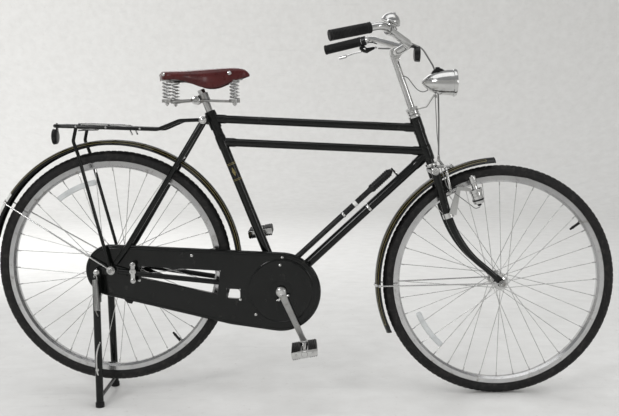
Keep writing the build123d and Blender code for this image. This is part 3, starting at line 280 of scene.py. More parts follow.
ENAMEL = Finish("stoved_black", colour=(0.0036, 0.0042, 0.0038), shade=(0.0062, 0.0068, 0.0064),
                smooth=0.08, dull=0.18, grain=Grain.PEEL, grain_size=1.6, depth=0.012, wear=0.05,
                worn=(0.022, 0.022, 0.02), coat=0.22, shine=0.18, slot="black_enamel")
CHROME = Finish("chrome_plating", colour=(0.66, 0.66, 0.65), shade=(0.52, 0.52, 0.515),
                metallic=1.0, smooth=0.07, dull=0.22, grain=Grain.PLATED, grain_size=1.2,
                depth=0.004, wear=0.08, worn=(0.36, 0.34, 0.31), slot="chrome")
DULL_STEEL = Finish("satin_metal", colour=(0.45, 0.45, 0.44), shade=(0.33, 0.33, 0.325),
                    metallic=1.0, smooth=0.25, dull=0.45, grain=Grain.CAST, grain_size=0.9,
                    wear=0.14, worn=(0.24, 0.22, 0.19), slot="satin_steel")
RIM_METAL = Finish("polished_rim", colour=(0.62, 0.62, 0.62), shade=(0.50, 0.50, 0.505),
                   metallic=1.0, smooth=0.14, dull=0.30, grain=Grain.BRUSHED, depth=0.006,
                   wear=0.10, worn=(0.34, 0.33, 0.31))
SPOKE_STEEL = Finish("spoke_wire", colour=(0.60, 0.60, 0.59), shade=(0.46, 0.46, 0.455),
                     metallic=1.0, dull=0.38, grain=Grain.BRUSHED, grain_size=0.6, depth=0.004,
                     worn=(0.30, 0.29, 0.27))
TYRE = Finish("tyre_rubber", colour=(0.010, 0.0098, 0.010), shade=(0.014, 0.0135, 0.0135),
              smooth=0.50, dull=0.78, grain_size=0.8, depth=0.03, wear=0.22,
              worn=(0.034, 0.032, 0.030), shine=0.2, slot="tyre")
RUBBER = Finish("grip_rubber", colour=(0.008, 0.008, 0.0083), shade=(0.012, 0.012, 0.012),
                smooth=0.42, dull=0.66, grain_size=0.5, depth=0.03, wear=0.14,
                worn=(0.028, 0.027, 0.026), shine=0.2, slot="black_rubber")
PLASTIC = Finish("moulded_plastic", colour=(0.010, 0.010, 0.0105), shade=(0.015, 0.015, 0.0155),
                 grain_size=0.6, depth=0.012, wear=0.08, worn=(0.025, 0.024, 0.023), shine=0.25,
                 slot="black_plastic")
LEATHER = Finish("polished_hide", colour=(0.082, 0.0085, 0.0085), shade=(0.048, 0.0055, 0.0055),
                 grain=Grain.HIDE, grain_size=1.3, depth=0.05, wear=0.07, worn=(0.13, 0.026, 0.020),
                 coat=0.12, shine=0.3, slot="saddle_leather")
RED_LENS = Finish("red_lens", colour=(0.42, 0.010, 0.012), shade=(0.30, 0.006, 0.008), smooth=0.08,
                  dull=0.20, grain=Grain.PRISM, grain_size=3.2, depth=0.5, wear=0.03,
                  worn=(0.30, 0.06, 0.05), coat=0.6, slot="red_reflector")
CLEAR_LENS = Finish("clear_lens", colour=(0.80, 0.82, 0.82), shade=(0.70, 0.72, 0.73), smooth=0.05,
                    dull=0.16, grain=Grain.PRISM, grain_size=3.0, depth=0.45, wear=0.03,
                    worn=(0.62, 0.62, 0.60), coat=0.5, glow=0.35, slot="chrome")
LAMP_GLASS = Finish("lamp_glass", colour=(0.93, 0.95, 0.95), shade=(0.88, 0.90, 0.90), smooth=0.02,
                    dull=0.06, grain=Grain.BRUSHED, grain_size=2.4, depth=0.15, wear=0.02,
                    worn=(0.80, 0.80, 0.78), glow=0.95, slot="chrome")
CABLE_GREY = Finish("cable_sheath", colour=(0.20, 0.20, 0.195), shade=(0.15, 0.15, 0.148),
                    smooth=0.30, dull=0.50, grain=Grain.BRUSHED, grain_size=0.9, wear=0.10,
                    worn=(0.11, 0.105, 0.10), slot="grey_cable")
GOLD_LINE = Finish("gold_lining", colour=(0.24, 0.19, 0.055), shade=(0.18, 0.145, 0.045),
                   metallic=0.2, smooth=0.25, dull=0.42, grain=Grain.PEEL, grain_size=1.2,
                   depth=0.01, wear=0.10, worn=(0.09, 0.075, 0.04), coat=0.5, slot="black_enamel")
# White for the pump's band and for the rear guard's tail patch; on the guard it is partly white
# paint and partly a painted highlight on the glossy black.
WHITE_PAINT_AND_HIGHLIGHT = Finish("white_paint_and_highlight", colour=(0.72, 0.72, 0.70), shade=(0.64, 0.64, 0.62), dull=0.38,
                     grain=Grain.PEEL, grain_size=1.4, depth=0.012, wear=0.08,
                     worn=(0.46, 0.44, 0.41), coat=0.5, slot="black_enamel")
STUDIO_FLOOR = Finish("studio_floor", colour=(0.70, 0.695, 0.68), shade=(0.655, 0.648, 0.632),
                      smooth=0.75, dull=0.95, grain=Grain.PLASTER, grain_size=60.0, depth=0.12,
                      wear=0.03, worn=(0.58, 0.565, 0.545), shine=0.1)


# ------------------------------------------------------------------------------ modelling
class Head(Enum):
    """The shape of a fastener's head."""

    DOME = "round"
    HEX = "hexagon"


def rest_hands() -> None:
    """Leave edit mode and select nothing."""
    if bpy.context.object is not None and bpy.context.object.mode != "OBJECT":
        bpy.ops.object.mode_set(mode="OBJECT")
    bpy.ops.object.select_all(action="DESELECT")


def take(piece: Piece) -> None:
    """Select one piece alone and make it active."""
    rest_hands()
    piece.select_set(True)
    bpy.context.view_layer.objects.active = piece


def seat_mesh(piece: Piece) -> Piece:
    """Put a piece's place into its mesh, so that its object sits at the origin."""
    take(piece)
    bpy.ops.object.transform_apply(location=True, rotation=True, scale=True)
    return piece


def start_line(name: str, points: Sequence[Vector]) -> Piece:
    """Start a piece as a line drawn through points, and stay in edit mode with all of it selected.

    Args:
        name: The new piece's name.
        points: The line's corners.

    Returns:
        The new piece.
    """
    rest_hands()
    bpy.ops.mesh.primitive_plane_add(size=0.01, location=points[0] * MM)
    piece = bpy.context.object
    piece.name = piece.data.name = name
    bpy.ops.object.mode_set(mode="EDIT")
    bpy.ops.mesh.select_mode(type="VERT")
    bpy.ops.mesh.select_all(action="SELECT")
    bpy.ops.mesh.merge(type="CENTER")
    for before, after in zip(points, points[1:]):
        bpy.ops.mesh.extrude_region_move(TRANSFORM_OT_translate={"value": (after - before) * MM})
    bpy.ops.mesh.select_all(action="SELECT")
    return piece


def tidy_skin(threshold: float = 0.004) -> None:
    """Weld doubled points and turn the faces outwards, then leave edit mode."""
    bpy.ops.mesh.select_all(action="SELECT")
    bpy.ops.mesh.remove_doubles(threshold=threshold * MM)
    bpy.ops.mesh.normals_make_consistent(inside=False)
    bpy.ops.object.mode_set(mode="OBJECT")


def square_to(axis: Vector) -> Vector:
    """Return a unit vector at right angles to an axis, in the centre plane where it can be."""
    other = Vector((0, 1, 0)) if abs(axis.normalized().y) < 0.9 else Vector((0, 0, 1))
    return axis.cross(other).normalized()


def flat_ring(low: float, high: float, bore: float, radius: float) -> list[Pair]:
    """Return the closed section of a flat ring, for turned()."""
    return [(low, bore), (low, radius), (high, radius), (high, bore), (low, bore)]


def turned(name: str, profile: Sequence[Pair], centre: Vector, axis: Vector,
           steps: int = 32) -> Piece:
    """Turn an outline round an axis, as on a lathe.

    Args:
        name: The new piece's name.
        profile: (along the axis, radius) corners. Ends on the axis close it, or the first
            corner again.
        centre: Where along is 0.
        axis: The way that along runs.
        steps: Facets round the axis.

    Returns:
        The new piece.
    """
    way, side = axis.normalized(), square_to(axis)
    piece = start_line(name, [centre + way * along + side * radius for along, radius in profile])
    bpy.ops.mesh.spin(steps=steps, angle=math.tau, center=centre * MM, axis=way)
    tidy_skin()
    return seat_mesh(piece)


def hooped(name: str, hub: Vector, section: Sequence[Pair], start: float, sweep: float,
           steps: int) -> Piece:
    """Run a closed section round a wheel's axle.

    Args:
        name: The new piece's name.
        hub: The wheel's middle.
        section: (radius, leftward) corners; the first is joined to the last.
        start: Where the hoop starts, in degrees turned up from straight ahead.
        sweep: How far it runs, in degrees; 360 closes it.
        steps: Facets along it.

    Returns:
        The new piece.
    """
    out = Vector((math.cos(math.radians(start)), 0, math.sin(math.radians(start))))
    corners = [hub + out * radius + Vector((0, left, 0)) for radius, left in (*section, section[0])]
    piece = start_line(name, corners)
    bpy.ops.mesh.spin(steps=steps, angle=math.radians(sweep), center=hub * MM, axis=(0, 1, 0))
    bpy.ops.mesh.select_all(action="SELECT")
    bpy.ops.mesh.remove_doubles(threshold=0.004 * MM)
    if sweep < 360.0:
        bpy.ops.mesh.fill_holes(sides=0)
    tidy_skin()
    return seat_mesh(piece)


def plate(name: str, corners: Sequence[Vector], through: Vector, bevel: float = 0.0) -> Piece:
    """Cut a plate to an outline. One with more than 12 corners is eased round its two faces only.

    Args:
        name: The new piece's name.
        corners: The outline.
        through: The plate's thickness and the way it lies from the outline.
        bevel: Size of the eased edges.

    Returns:
        The new piece.
    """
    piece = start_line(name, [*corners, corners[0]])
    bpy.ops.mesh.remove_doubles(threshold=0.004 * MM)
    bpy.ops.mesh.edge_face_add()
    bpy.ops.mesh.extrude_region_move(TRANSFORM_OT_translate={"value": through * MM})
    bpy.ops.mesh.select_all(action="SELECT")
    bpy.ops.mesh.normals_make_consistent(inside=False)
    if bevel and len(corners) > 12:
        bpy.ops.object.mode_set(mode="OBJECT")
        way = through.normalized()
        for face in piece.data.polygons:
            face.select = abs(face.normal.dot(way)) > 0.99
        bpy.ops.object.mode_set(mode="EDIT")
        bpy.ops.mesh.select_mode(type="FACE")
    if bevel:
        bpy.ops.mesh.bevel(offset=bevel * MM, segments=2, affect="EDGES")
    bpy.ops.object.mode_set(mode="OBJECT")
    return seat_mesh(piece)


def block(name: str, centre: Vector, size: Vector, bevel: float, tilt: float = 0.0) -> Piece:
    """Make a block with eased edges.

    Args:
        name: The new piece's name.
        centre: Its middle.
        size: Its length, width and height.
        bevel: Size of the eased edges.
        tilt: Degrees that its front is turned down.

    Returns:
        The new piece.
    """
    rest_hands()
    bpy.ops.mesh.primitive_cube_add(size=1.0, location=centre * MM,
                                    rotation=(0, math.radians(tilt), 0), scale=size * MM)
    piece = bpy.context.object
    piece.name = piece.data.name = name
    seat_mesh(piece)
    bpy.ops.object.mode_set(mode="EDIT")
    bpy.ops.mesh.select_all(action="SELECT")
    bpy.ops.mesh.bevel(offset=bevel * MM, segments=3, affect="EDGES")
    bpy.ops.object.mode_set(mode="OBJECT")
    return piece


def wire(name: str, points: Sequence[Vector], radius: float, order: int = 3,
         sides: int = 2) -> Piece:
    """Bend a round wire smoothly near a row of points.

    Args:
        name: The new piece's name.
        points: The points that it bends by; it starts and ends on the outer two.
        radius: Half its thickness.
        order: 3 or 4 for softer bends, 2 for straight runs.
        sides: How finely its section is rounded.

    Returns:
        The new piece.
    """
    rest_hands()
    bpy.ops.curve.primitive_nurbs_path_add()
    line = bpy.context.object
    line.name = line.data.name = name
    line.data.splines.clear()
    run = line.data.splines.new("NURBS")
    run.points.add(len(points) - 1)
    for point, at in zip(run.points, points):
        point.co = (*(at * MM), 1.0)
    run.order_u = order
    run.use_endpoint_u = True
    line.data.resolution_u = 5
    line.data.bevel_depth = radius * MM
    line.data.bevel_resolution = sides
    line.data.use_fill_caps = True
    take(line)
    bpy.ops.object.convert(target="MESH")
    bpy.ops.object.mode_set(mode="EDIT")
    tidy_skin()
    return seat_mesh(bpy.context.object)


def rod(name: str, start: Vector, end: Vector, radius: float, ease: float = 0.5,
        steps: int = 24) -> Piece:
    """Turn a round rod with eased ends between two points."""
    long = (end - start).length
    profile = [(0, 0), (0, radius - ease), (ease, radius), (long - ease, radius),
               (long, radius - ease), (long, 0)]
    return turned(name, profile, start, end - start, steps)


def sleeve(name: str, start: Vector, end: Vector, bore: float, wall: float,
           lip: float = 0.6) -> Piece:
    """Turn a sleeve round a tube, tapered at both ends.

    Args:
        name: The new piece's name.
        start: One end on the tube's axis.
        end: The other end.
        bore: The tube's radius.
        wall: The sleeve's thickness.
        lip: How thick its ends are.

    Returns:
        The new piece.
    """
    long = (end - start).length
    taper = min(4.0 * wall, long * 0.3)
    outer = bore + wall
    profile = [(0, bore + 0.05), (0, bore + lip), (taper, outer), (long - taper, outer),
               (long, bore + lip), (long, bore + 0.05), (0, bore + 0.05)]
    return turned(name, profile, start, end - start, 40)


def fastener(name: str, foot: Vector, axis: Vector, radius: float, head: Head = Head.DOME) -> Piece:
    """Make a fastener's head with its washer.

    Args:
        name: The new piece's name.
        foot: Where it meets the surface, on its axis.
        axis: The way that it stands out.
        radius: The head's radius.
        head: Its shape.

    Returns:
        The new piece.
    """
    washer = [(-0.3, 0), (-0.3, radius * 1.25), (radius * 0.12, radius * 1.25),
              (radius * 0.16, radius * 1.15)]
    if head is Head.DOME:
        cap = [(radius * 0.2, radius), (radius * 0.45, radius * 0.86),
               (radius * 0.62, radius * 0.55), (radius * 0.7, 0)]
        return turned(name, washer + cap, foot, axis, 20)
    way = axis.normalized()
    ring = turned(f"{name}_washer", washer + [(radius * 0.16, 0)], foot, axis, 24)
    nut = [(radius * 0.1, 0), (radius * 0.1, radius), (radius * 0.95, radius),
           (radius * 1.1, radius * 0.86), (radius * 1.1, radius * 0.5),
           (radius * 1.6, radius * 0.48), (radius * 1.7, radius * 0.36), (radius * 1.7, 0)]
    return joined(name, [turned(f"{name}_nut", nut[:4] + [(radius * 1.1, 0)], foot, way, 6),
                         turned(f"{name}_stud", [(0, 0), *nut[4:]], foot, way, 16), ring])


def arch(name: str, outline: Sequence[Pair], stations: Sequence[tuple[float, float, float, float]],
         origin: Vector) -> Piece:
    """Draw an arched sheet out through a row of places, changing its width and height at each.

    Args:
        name: The new piece's name.
        outline: (leftward, rise) corners of the arch, from -1 to 1 and from 0 to 1.
        stations: (along, half width, low edge, crown) at each place.
        origin: Where these are measured from.

    Returns:
        The new piece, one skin thick and facing up.
    """
    along, wide, low, high = stations[0]
    start_line(name,
               [origin + Vector((along, wide * out, low + (high - low) * rise))
                for out, rise in outline])
    for station in stations[1:]:
        step = Vector((station[0] - along, 0, station[2] - low)) * MM
        bpy.ops.mesh.extrude_region_move(TRANSFORM_OT_translate={"value": step})
        foot = origin + Vector((station[0], 0, station[2]))
        grow = (1, station[1] / wide, (station[3] - station[2]) / (high - low))
        bpy.ops.transform.resize(value=grow, center_override=foot * MM)
        along, wide, low, high = station
    tidy_skin()
    piece = seat_mesh(bpy.context.object)
    if sum(face.normal.z * face.area for face in piece.data.polygons) < 0:
        bpy.ops.object.mode_set(mode="EDIT")
        bpy.ops.mesh.select_all(action="SELECT")
        bpy.ops.mesh.flip_normals()
        bpy.ops.object.mode_set(mode="OBJECT")
    return piece


def thicken(piece: Piece, wall: float, smooth: int = 2) -> None:
    """Give a sheet its thickness inwards, then round it by subdivision."""
    take(piece)
    shell = piece.modifiers.new("wall", "SOLIDIFY")
    shell.thickness, shell.offset, shell.use_even_offset = wall * MM, -1.0, True
    bpy.ops.object.modifier_apply(modifier=shell.name)
    if smooth:
        rounding = piece.modifiers.new("rounding", "SUBSURF")
        rounding.levels = rounding.render_levels = smooth
        bpy.ops.object.modifier_apply(modifier=rounding.name)


def coil(name: str, foot: Vector, axis: Vector, height: float, radius: float, thick: float,
         turns: int) -> Piece:
    """Wind a wire into a spring.

    Args:
        name: The new piece's name.
        foot: Where its axis starts.
        axis: The way that it is wound.
        height: Its length.
        radius: The middle of the wire from the axis.
        thick: Half the wire's thickness.
        turns: How many turns.

    Returns:
        The new piece.
    """
    way, side = axis.normalized(), square_to(axis)
    other = way.cross(side)
    points = []
    for n in range(turns * 8 + 1):
        turn = n * math.tau / 8
        points.append(foot + way * height * n / (turns * 8)
                      + (side * math.cos(turn) + other * math.sin(turn)) * radius * 1.08)
    return wire(name, points, thick, 3, 1)


def joined(name: str, pieces: Sequence[Piece]) -> Piece:
    """Join pieces into one, and return it."""
    take(pieces[0])
    for piece in pieces:
        piece.select_set(True)
    bpy.ops.object.join()
    whole = bpy.context.object
    whole.name = whole.data.name = name
    return whole


def copied(piece: Piece, name: str, move: Matrix) -> Piece:
    """Copy a piece with its own mesh, moved by a matrix in metres."""
    twin = piece.copy()
    twin.data = piece.data.copy()
    twin.name = twin.data.name = name
    bpy.context.scene.collection.objects.link(twin)
    twin.data.transform(move)
    if move.determinant() < 0:
        take(twin)
        bpy.ops.object.mode_set(mode="EDIT")
        bpy.ops.mesh.select_all(action="SELECT")
        bpy.ops.mesh.flip_normals()
        bpy.ops.object.mode_set(mode="OBJECT")
    return twin


def across(piece: Piece, name: str) -> Piece:
    """Copy a piece to the other side of the bicycle."""
    return copied(piece, name, Matrix.Scale(-1, 4, (0, 1, 0)))


def about(hub: Vector, degrees: float) -> Matrix:
    """Return the turn about a wheel's axle, upwards from straight ahead."""
    to_hub = Matrix.Translation(hub * MM)
    return to_hub @ Matrix.Rotation(math.radians(degrees), 4, (0, -1, 0)) @ to_hub.inverted()


def choose_faces(piece: Piece, wanted: Callable[[Vector], bool]) -> int:
    """Select the faces whose middles pass a test, in face mode.

    Args:
        piece: A piece whose object sits at the origin.
        wanted: The test, on a face's middle in millimetres.

    Returns:
        How many faces are selected.
    """
    take(piece)
    bpy.ops.object.mode_set(mode="EDIT")
    bpy.ops.mesh.select_mode(type="FACE")
    bpy.ops.mesh.select_all(action="DESELECT")
    bpy.ops.object.mode_set(mode="OBJECT")
    chosen = 0
    for face in piece.data.polygons:
        face.select = wanted(face.center / MM)
        chosen += face.select
    bpy.ops.object.mode_set(mode="EDIT")
    return chosen


def dress(piece: Piece, finish: Finish) -> Piece:
    """Give a piece one finish all over."""
    piece.data.materials.clear()
    piece.data.materials.append(finish.material())
    return piece


def hand_over(piece: Piece, finish: Finish, body: str, slot: str = "",
              stands_for: Sequence[str] = (), crease: float = 32.0) -> Piece:
    """Finish a piece and hang it on its body.

    Args:
        piece: The piece, with its place in its mesh.
        finish: Its finish.
        body: The body that it rides on.
        slot: The record's material slot meant for it, where its finish's own doesn't fit; not used.
        stands_for: Model nodes that it replaces.
        crease: Edges sharper than this stay crisp, in degrees.

    Returns:
        The piece.
    """
    slot = slot or finish.slot
    dress(piece, finish)
    take(piece)
    bpy.ops.object.shade_smooth_by_angle(angle=math.radians(crease))
    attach(piece, body)
    if stands_for:
        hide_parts(*stands_for)
    LOG.info("%s: %d faces on %s", piece.name, len(piece.data.polygons), body)
    return piece


def direction(degrees: float) -> Vector:
    """Return a unit vector in the centre plane, turned up from straight ahead."""
    return Vector((math.cos(math.radians(degrees)), 0, math.sin(math.radians(degrees))))


# ------------------------------------------------------------------------------ datum points
def joint_row(name: str) -> dict:
    """Return a joint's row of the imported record."""
    return next(joint for joint in frame["joints"] if joint["name"] == name)


def joint_at(name: str) -> Vector:
    """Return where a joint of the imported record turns."""
    return Vector(joint_row(name)["pos_m"]) / MM


def middle_of(node: str) -> Vector:
    """Return the middle of a model node's box."""
    low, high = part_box(node)
    return (low + high) / 2 / MM


REAR_HUB = joint_at("rear_wheel_spin")
FRONT_HUB = joint_at("front_wheel_spin")
BRACKET = joint_at("crank_turn")
HEAD_LOW = joint_at("steering_turn")
HEAD_UP = Vector(joint_row("steering_turn")["axis"]).normalized()
HEAD_TOP = HEAD_LOW + HEAD_UP * 147.0
SEAT_UP = direction(111.2)
SEAT_LUG = BRACKET + SEAT_UP * 572.0
SEAT_BOLT = middle_of("seat_bolt")
POST_CLAMP = SEAT_LUG + SEAT_UP * 53.0
CROWN = HEAD_LOW - HEAD_UP * 22.5
BAR_CENTRE = HEAD_TOP + HEAD_UP * 204.0 + Vector((10, 0, 0))
LEFT = Vector((0, 1, 0))
UP = Vector((0, 0, 1))
AHEAD = Vector((1, 0, 0))


def from_axle(along: float, out: float, height: float) -> Vector:
    """Return a point by its distance ahead of the rear axle, leftward and above the floor."""
    return Vector((REAR_HUB.x + along, out, height))


# ------------------------------------------------------------------------------ wheels
@dataclass
class Wheel:
    """A wheel's tyre, nipples, valve, reflector and hub caps."""

    name: str
    hub: Vector
    hub_ends: Pair
    valve_at: float
    reflector_at: float
    tyre_radius: float = TYRE_RADIUS
    casing: float = 20.0
    tread_depth: float = 1.1
    columns: int = 360
    rim_inner: float = 305.0
    spokes: int = 36

    @property
    def body(self) -> str:
        """The body that the wheel turns with."""
        return f"{self.name}_wheel"

    def build(self) -> None:
        """Make every piece of the wheel and dress its model nodes."""
        self.tyre()
        self.nipples()
        self.valve()
        self.reflector()
        self.hub_caps()
        dress(frame["nodes"][f"{self.name}_rim"], RIM_METAL)
        dress(frame["nodes"][f"{self.name}_hub"], CHROME)
        dress(frame["nodes"][f"{self.name}_spokes"], SPOKE_STEEL)

    def tyre(self) -> None:
        """Spin the tyre and raise its shoulder blocks, centre studs and sidewall lines."""
        middle = self.tyre_radius - self.casing
        section: list[Pair] = []
        for turn in (124, 108, 101, 99, 92, 84, 72, 60, 48, 40, 29, 18, 6):
            line = 0.45 if turn in (101, 99, 60) else 0.0
            depth = self.tread_depth if turn <= 48 else 0.35 - line
            reach = self.casing - depth
            section.append((middle + reach * math.cos(math.radians(turn)),
                            reach * math.sin(math.radians(turn))))
        section += [(radius, -left) for radius, left in reversed(section)]
        section += [(middle - 10.9, -11.0), (middle - 10.9, 11.0)]
        tyre = hooped(f"{self.name}_tyre_tread", self.hub, section, 0, 360, self.columns)
        column = 360.0 / self.columns

        def place_of(at: Vector) -> tuple[float, int]:
            """Return a face's degrees round the tyre's section and its column round the wheel."""
            away = at - self.hub
            beyond = Vector((away.x, away.z)).length - middle
            index = int(math.degrees(math.atan2(away.z, away.x)) % 360 / column)
            return math.degrees(math.atan2(abs(at.y), beyond)), index

        def on_shoulder(at: Vector) -> bool:
            """Tell whether a face belongs to a shoulder block."""
            lean, index = place_of(at)
            return 29.5 < lean < 48 and (index + (at.y > 0)) % 2 == 0

        def on_crown(at: Vector) -> bool:
            """Tell whether a face belongs to the studs round the middle."""
            lean, index = place_of(at)
            return lean < 17.5 and index % 3 != 0

        choose_faces(tyre, on_shoulder)
        bpy.ops.mesh.inset(thickness=0.5 * MM, depth=(self.tread_depth - 0.1) * MM,
                           use_individual=False)
        choose_faces(tyre, on_crown)
        bpy.ops.mesh.inset(thickness=0.4 * MM, depth=(self.tread_depth - 0.2) * MM,
                           use_individual=False)
        bpy.ops.object.mode_set(mode="OBJECT")
        hand_over(tyre, TYRE, self.body, stands_for=[f"{self.name}_tyre"], crease=28.0)

    def nipples(self) -> None:
        """Turn one spoke nipple with its eyelet and copy it to every spoke."""
        foot = self.hub + AHEAD * (self.rim_inner + 1.5)
        profile = [(0, 0), (0, 4.2), (1.0, 4.6), (2.0, 3.4), (2.2, 1.9), (12.0, 1.7), (13.0, 1.0),
                   (13.0, 0)]
        first = turned(f"{self.name}_nipple", profile, foot, -AHEAD, 10)
        pitch = 360.0 / self.spokes
        rest = [copied(first, f"{self.name}_nipple_{n}", about(self.hub, n * pitch))
                for n in range(1, self.spokes)]
        hand_over(joined(f"{self.name}_nipples", [first, *rest]), CHROME, self.body)

    def valve(self) -> None:
        """Turn the valve: rubber-covered stem, locknut and cap."""
        foot = self.hub + AHEAD * (self.rim_inner + 1.0)
        stem = [(-1, 0), (-1, 5.5), (0.6, 5.5), (3.0, 4.2), (24, 3.9), (25, 4.4), (29, 4.4),
                (30, 3.4), (36, 3.2), (37.5, 2.4), (37.5, 0)]
        nut = [(0.4, 4.0), (0.4, 7.2), (3.4, 7.2), (3.8, 4.0), (0.4, 4.0)]
        stem_piece = turned(f"{self.name}_valve", stem, foot, -AHEAD, 16)
        nut_piece = turned(f"{self.name}_valve_nut", nut, foot, -AHEAD, 6)
        turn = about(self.hub, self.valve_at)
        for piece, finish in ((stem_piece, RUBBER), (nut_piece, CHROME)):
            piece.data.transform(turn)
            hand_over(piece, finish, self.body)

    def reflector(self) -> None:
        """Make the curved clear reflector clipped between the spokes."""
        section = [(257, -17), (257, -9), (259, -7), (272, -7), (274, -9), (274, -17), (272, -19),
                   (259, -19)]
        half = 13.0
        lens = hooped(f"{self.name}_spoke_reflector", self.hub, section, self.reflector_at - half,
                      2 * half, 26)
        for end in (-1, 1):
            tip = self.hub + direction(self.reflector_at + end * half) * 265.5

            def near_tip(at: Vector, tip: Vector = tip) -> bool:
                """Tell whether a face closes this end."""
                return (Vector((at.x, 0, at.z)) - tip).length < 1.0

            choose_faces(lens, near_tip)
            bpy.ops.mesh.inset(thickness=3.2 * MM, depth=3.0 * MM)
            bpy.ops.object.mode_set(mode="OBJECT")
        hand_over(lens, CLEAR_LENS, self.body, slot="black_plastic", crease=40.0)
        clips = []
        for offset in (-7.0, 7.0):
            at = self.hub + direction(self.reflector_at + offset) * 265.5 + LEFT * -6.4
            clips.append(turned("clip", [(-0.8, 0), (-0.8, 4.4), (1.6, 4.0), (2.2, 2.4), (2.2, 0)],
                                at, LEFT, 18))
        hand_over(joined(f"{self.name}_reflector_clips", clips), PLASTIC, self.body)

    def hub_caps(self) -> None:
        """Turn the dust caps at the hub's ends, and an oiler on the barrel."""
        pieces = []
        for side, end in zip((-1, 1), self.hub_ends):
            way = LEFT * side
            foot = self.hub + LEFT * (end - side * 3.0)
            neck = 15.0 if self.name == "rear" else 11.0
            cap = [(0, neck + 0.1), (0, neck + 1.6), (1.5, neck + 1.9), (3.2, neck + 0.6),
                   (3.6, neck - 3.0), (3.4, 6.0), (0, 6.0), (0, neck + 0.1)]
            pieces.append(turned("cap", cap, foot, way, 32))
        oiler = [(-0.5, 0), (-0.5, 4.0), (0.8, 4.2), (1.6, 3.0), (2.6, 2.6), (3.0, 0)]
        barrel = 23.0 if self.name == "rear" else 13.0
        pieces.append(turned("oiler", oiler, self.hub + UP * barrel + LEFT * 2.0, UP, 14))
        hand_over(joined(f"{self.name}_hub_caps", pieces), CHROME, self.body)


# ------------------------------------------------------------------------------ mudguards
@dataclass
class Mudguard:
    """The beading, gold lining, stay bolts and rivet of one mudguard."""

    name: str
    hub: Vector
    body: str
    radius: float
    start: float
    end: float
    stays_at: float
    lined: Pair
    drop: float = 15.0
    half_width: float = 28.5
    lines: Pair = (27.0, 41.0)

    @property
    def curve(self) -> float:
        """The radius of the guard's rounded section."""
        return (self.half_width ** 2 + self.drop ** 2) / (2 * self.drop)

    def over(self, lean: float, rise: float) -> Pair:
        """Return (radius, leftward) of a point above the skin, lean degrees round its section."""
        reach = self.curve + rise
        turn = math.radians(lean)
        return (self.radius - self.curve + reach * math.cos(turn), reach * math.sin(turn))

    def strip(self, name: str, first: float, last: float, start: float, sweep: float,
              rise: float = 0.25, pieces: int = 1) -> Piece:
        """Lay a thin strip on the guard's skin between two leans and two places round the wheel."""
        leans = [first + (last - first) * n / pieces for n in range(pieces + 1)]
        section = [self.over(lean, rise) for lean in leans]
        section += [self.over(lean, -0.3) for lean in reversed(leans)]
        return hooped(name, self.hub, section, start, sweep, max(2, round(abs(sweep) / 1.6)))

    def build(self) -> None:
        """Make the guard's trim and dress its model nodes."""
        self.beads()
        self.lining()
        self.fixings()
        dress(frame["nodes"][f"{self.name}_mudguard"], ENAMEL)
        dress(frame["nodes"][f"{self.name}_mudguard_stays"], CHROME)

    def beads(self) -> None:
        """Roll the wired edges on both sides and across both ends."""
        pieces = []
        for side in (-1, 1):
            middle = (self.radius - self.drop + 0.4, side * (self.half_width - 0.9))
            ring = [(middle[0] + 1.5 * math.cos(n * math.tau / 8),
                     middle[1] + 1.5 * math.sin(n * math.tau / 8))
                    for n in range(8)]
            pieces.append(hooped("bead", self.hub, ring, self.start, self.end - self.start, 110))
        for place in (self.start, self.end):
            leans = [-55 + n * 10 for n in range(12)]
            points = []
            for lean in leans:
                radius, left = self.over(lean, -0.4)
                points.append(self.hub + direction(place) * radius + LEFT * left)
            pieces.append(wire("end", points, 1.4))
        hand_over(joined(f"{self.name}_guard_beads", pieces), ENAMEL, self.body)

    def lining(self) -> None:
        """Lay the twin gold lines on each side and close them with a short line at each end."""
        begin, finish = self.lined
        low, high = self.lines
        pieces = []
        for side in (-1, 1):
            for lean in (low, high):
                pieces.append(self.strip("line", side * lean - 1.1, side * lean + 1.1, begin,
                                         finish - begin))
            for place in (begin, finish - 0.28):
                pieces.append(self.strip("end", side * low, side * high, place, 0.28, 0.25, 4))
        hand_over(joined(f"{self.name}_guard_lining", pieces), GOLD_LINE, self.body)

    def fixings(self) -> None:
        """Put a small bolt where each stay meets the band round the guard."""
        pieces = []
        for side in (-1, 1):
            reach = self.radius - self.drop + 3.0
            at = self.hub + direction(self.stays_at) * reach + LEFT * side * (self.half_width + 4.6)
            pieces.append(fastener("bolt", at, LEFT * side, 3.2, Head.DOME))
        top = self.hub + direction(self.stays_at) * (self.radius + 2.2)
        pieces.append(fastener("rivet", top, direction(self.stays_at), 2.6, Head.DOME))
        hand_over(joined(f"{self.name}_guard_bolts", pieces), CHROME, self.body)


@dataclass
class RearMudguard(Mudguard):
    """The rear mudguard, which also has a white tail patch, partly white paint and partly a painted
    highlight.
    """

    # White from 143 to 158 degrees round the wheel: the tail's white paint, which also stands in
    # for a highlight on the glossy black enamel.
    patch: Pair = (143.0, 158.0)

    def build(self) -> None:
        """Add the white tail patch, partly white paint and partly a painted highlight, in two
        strips above and below the stays' band.
        """
        super().build()
        start, end = self.patch
        below = self.strip("patch_low", -53, 53, start, self.stays_at - 0.9 - start, 0.35, 16)
        above = self.strip("patch_high", -53, 53, self.stays_at + 0.9, end - self.stays_at - 0.9,
                           0.35, 16)
        hand_over(joined("rear_guard_white_patch", [below, above]), WHITE_PAINT_AND_HIGHLIGHT, self.body)


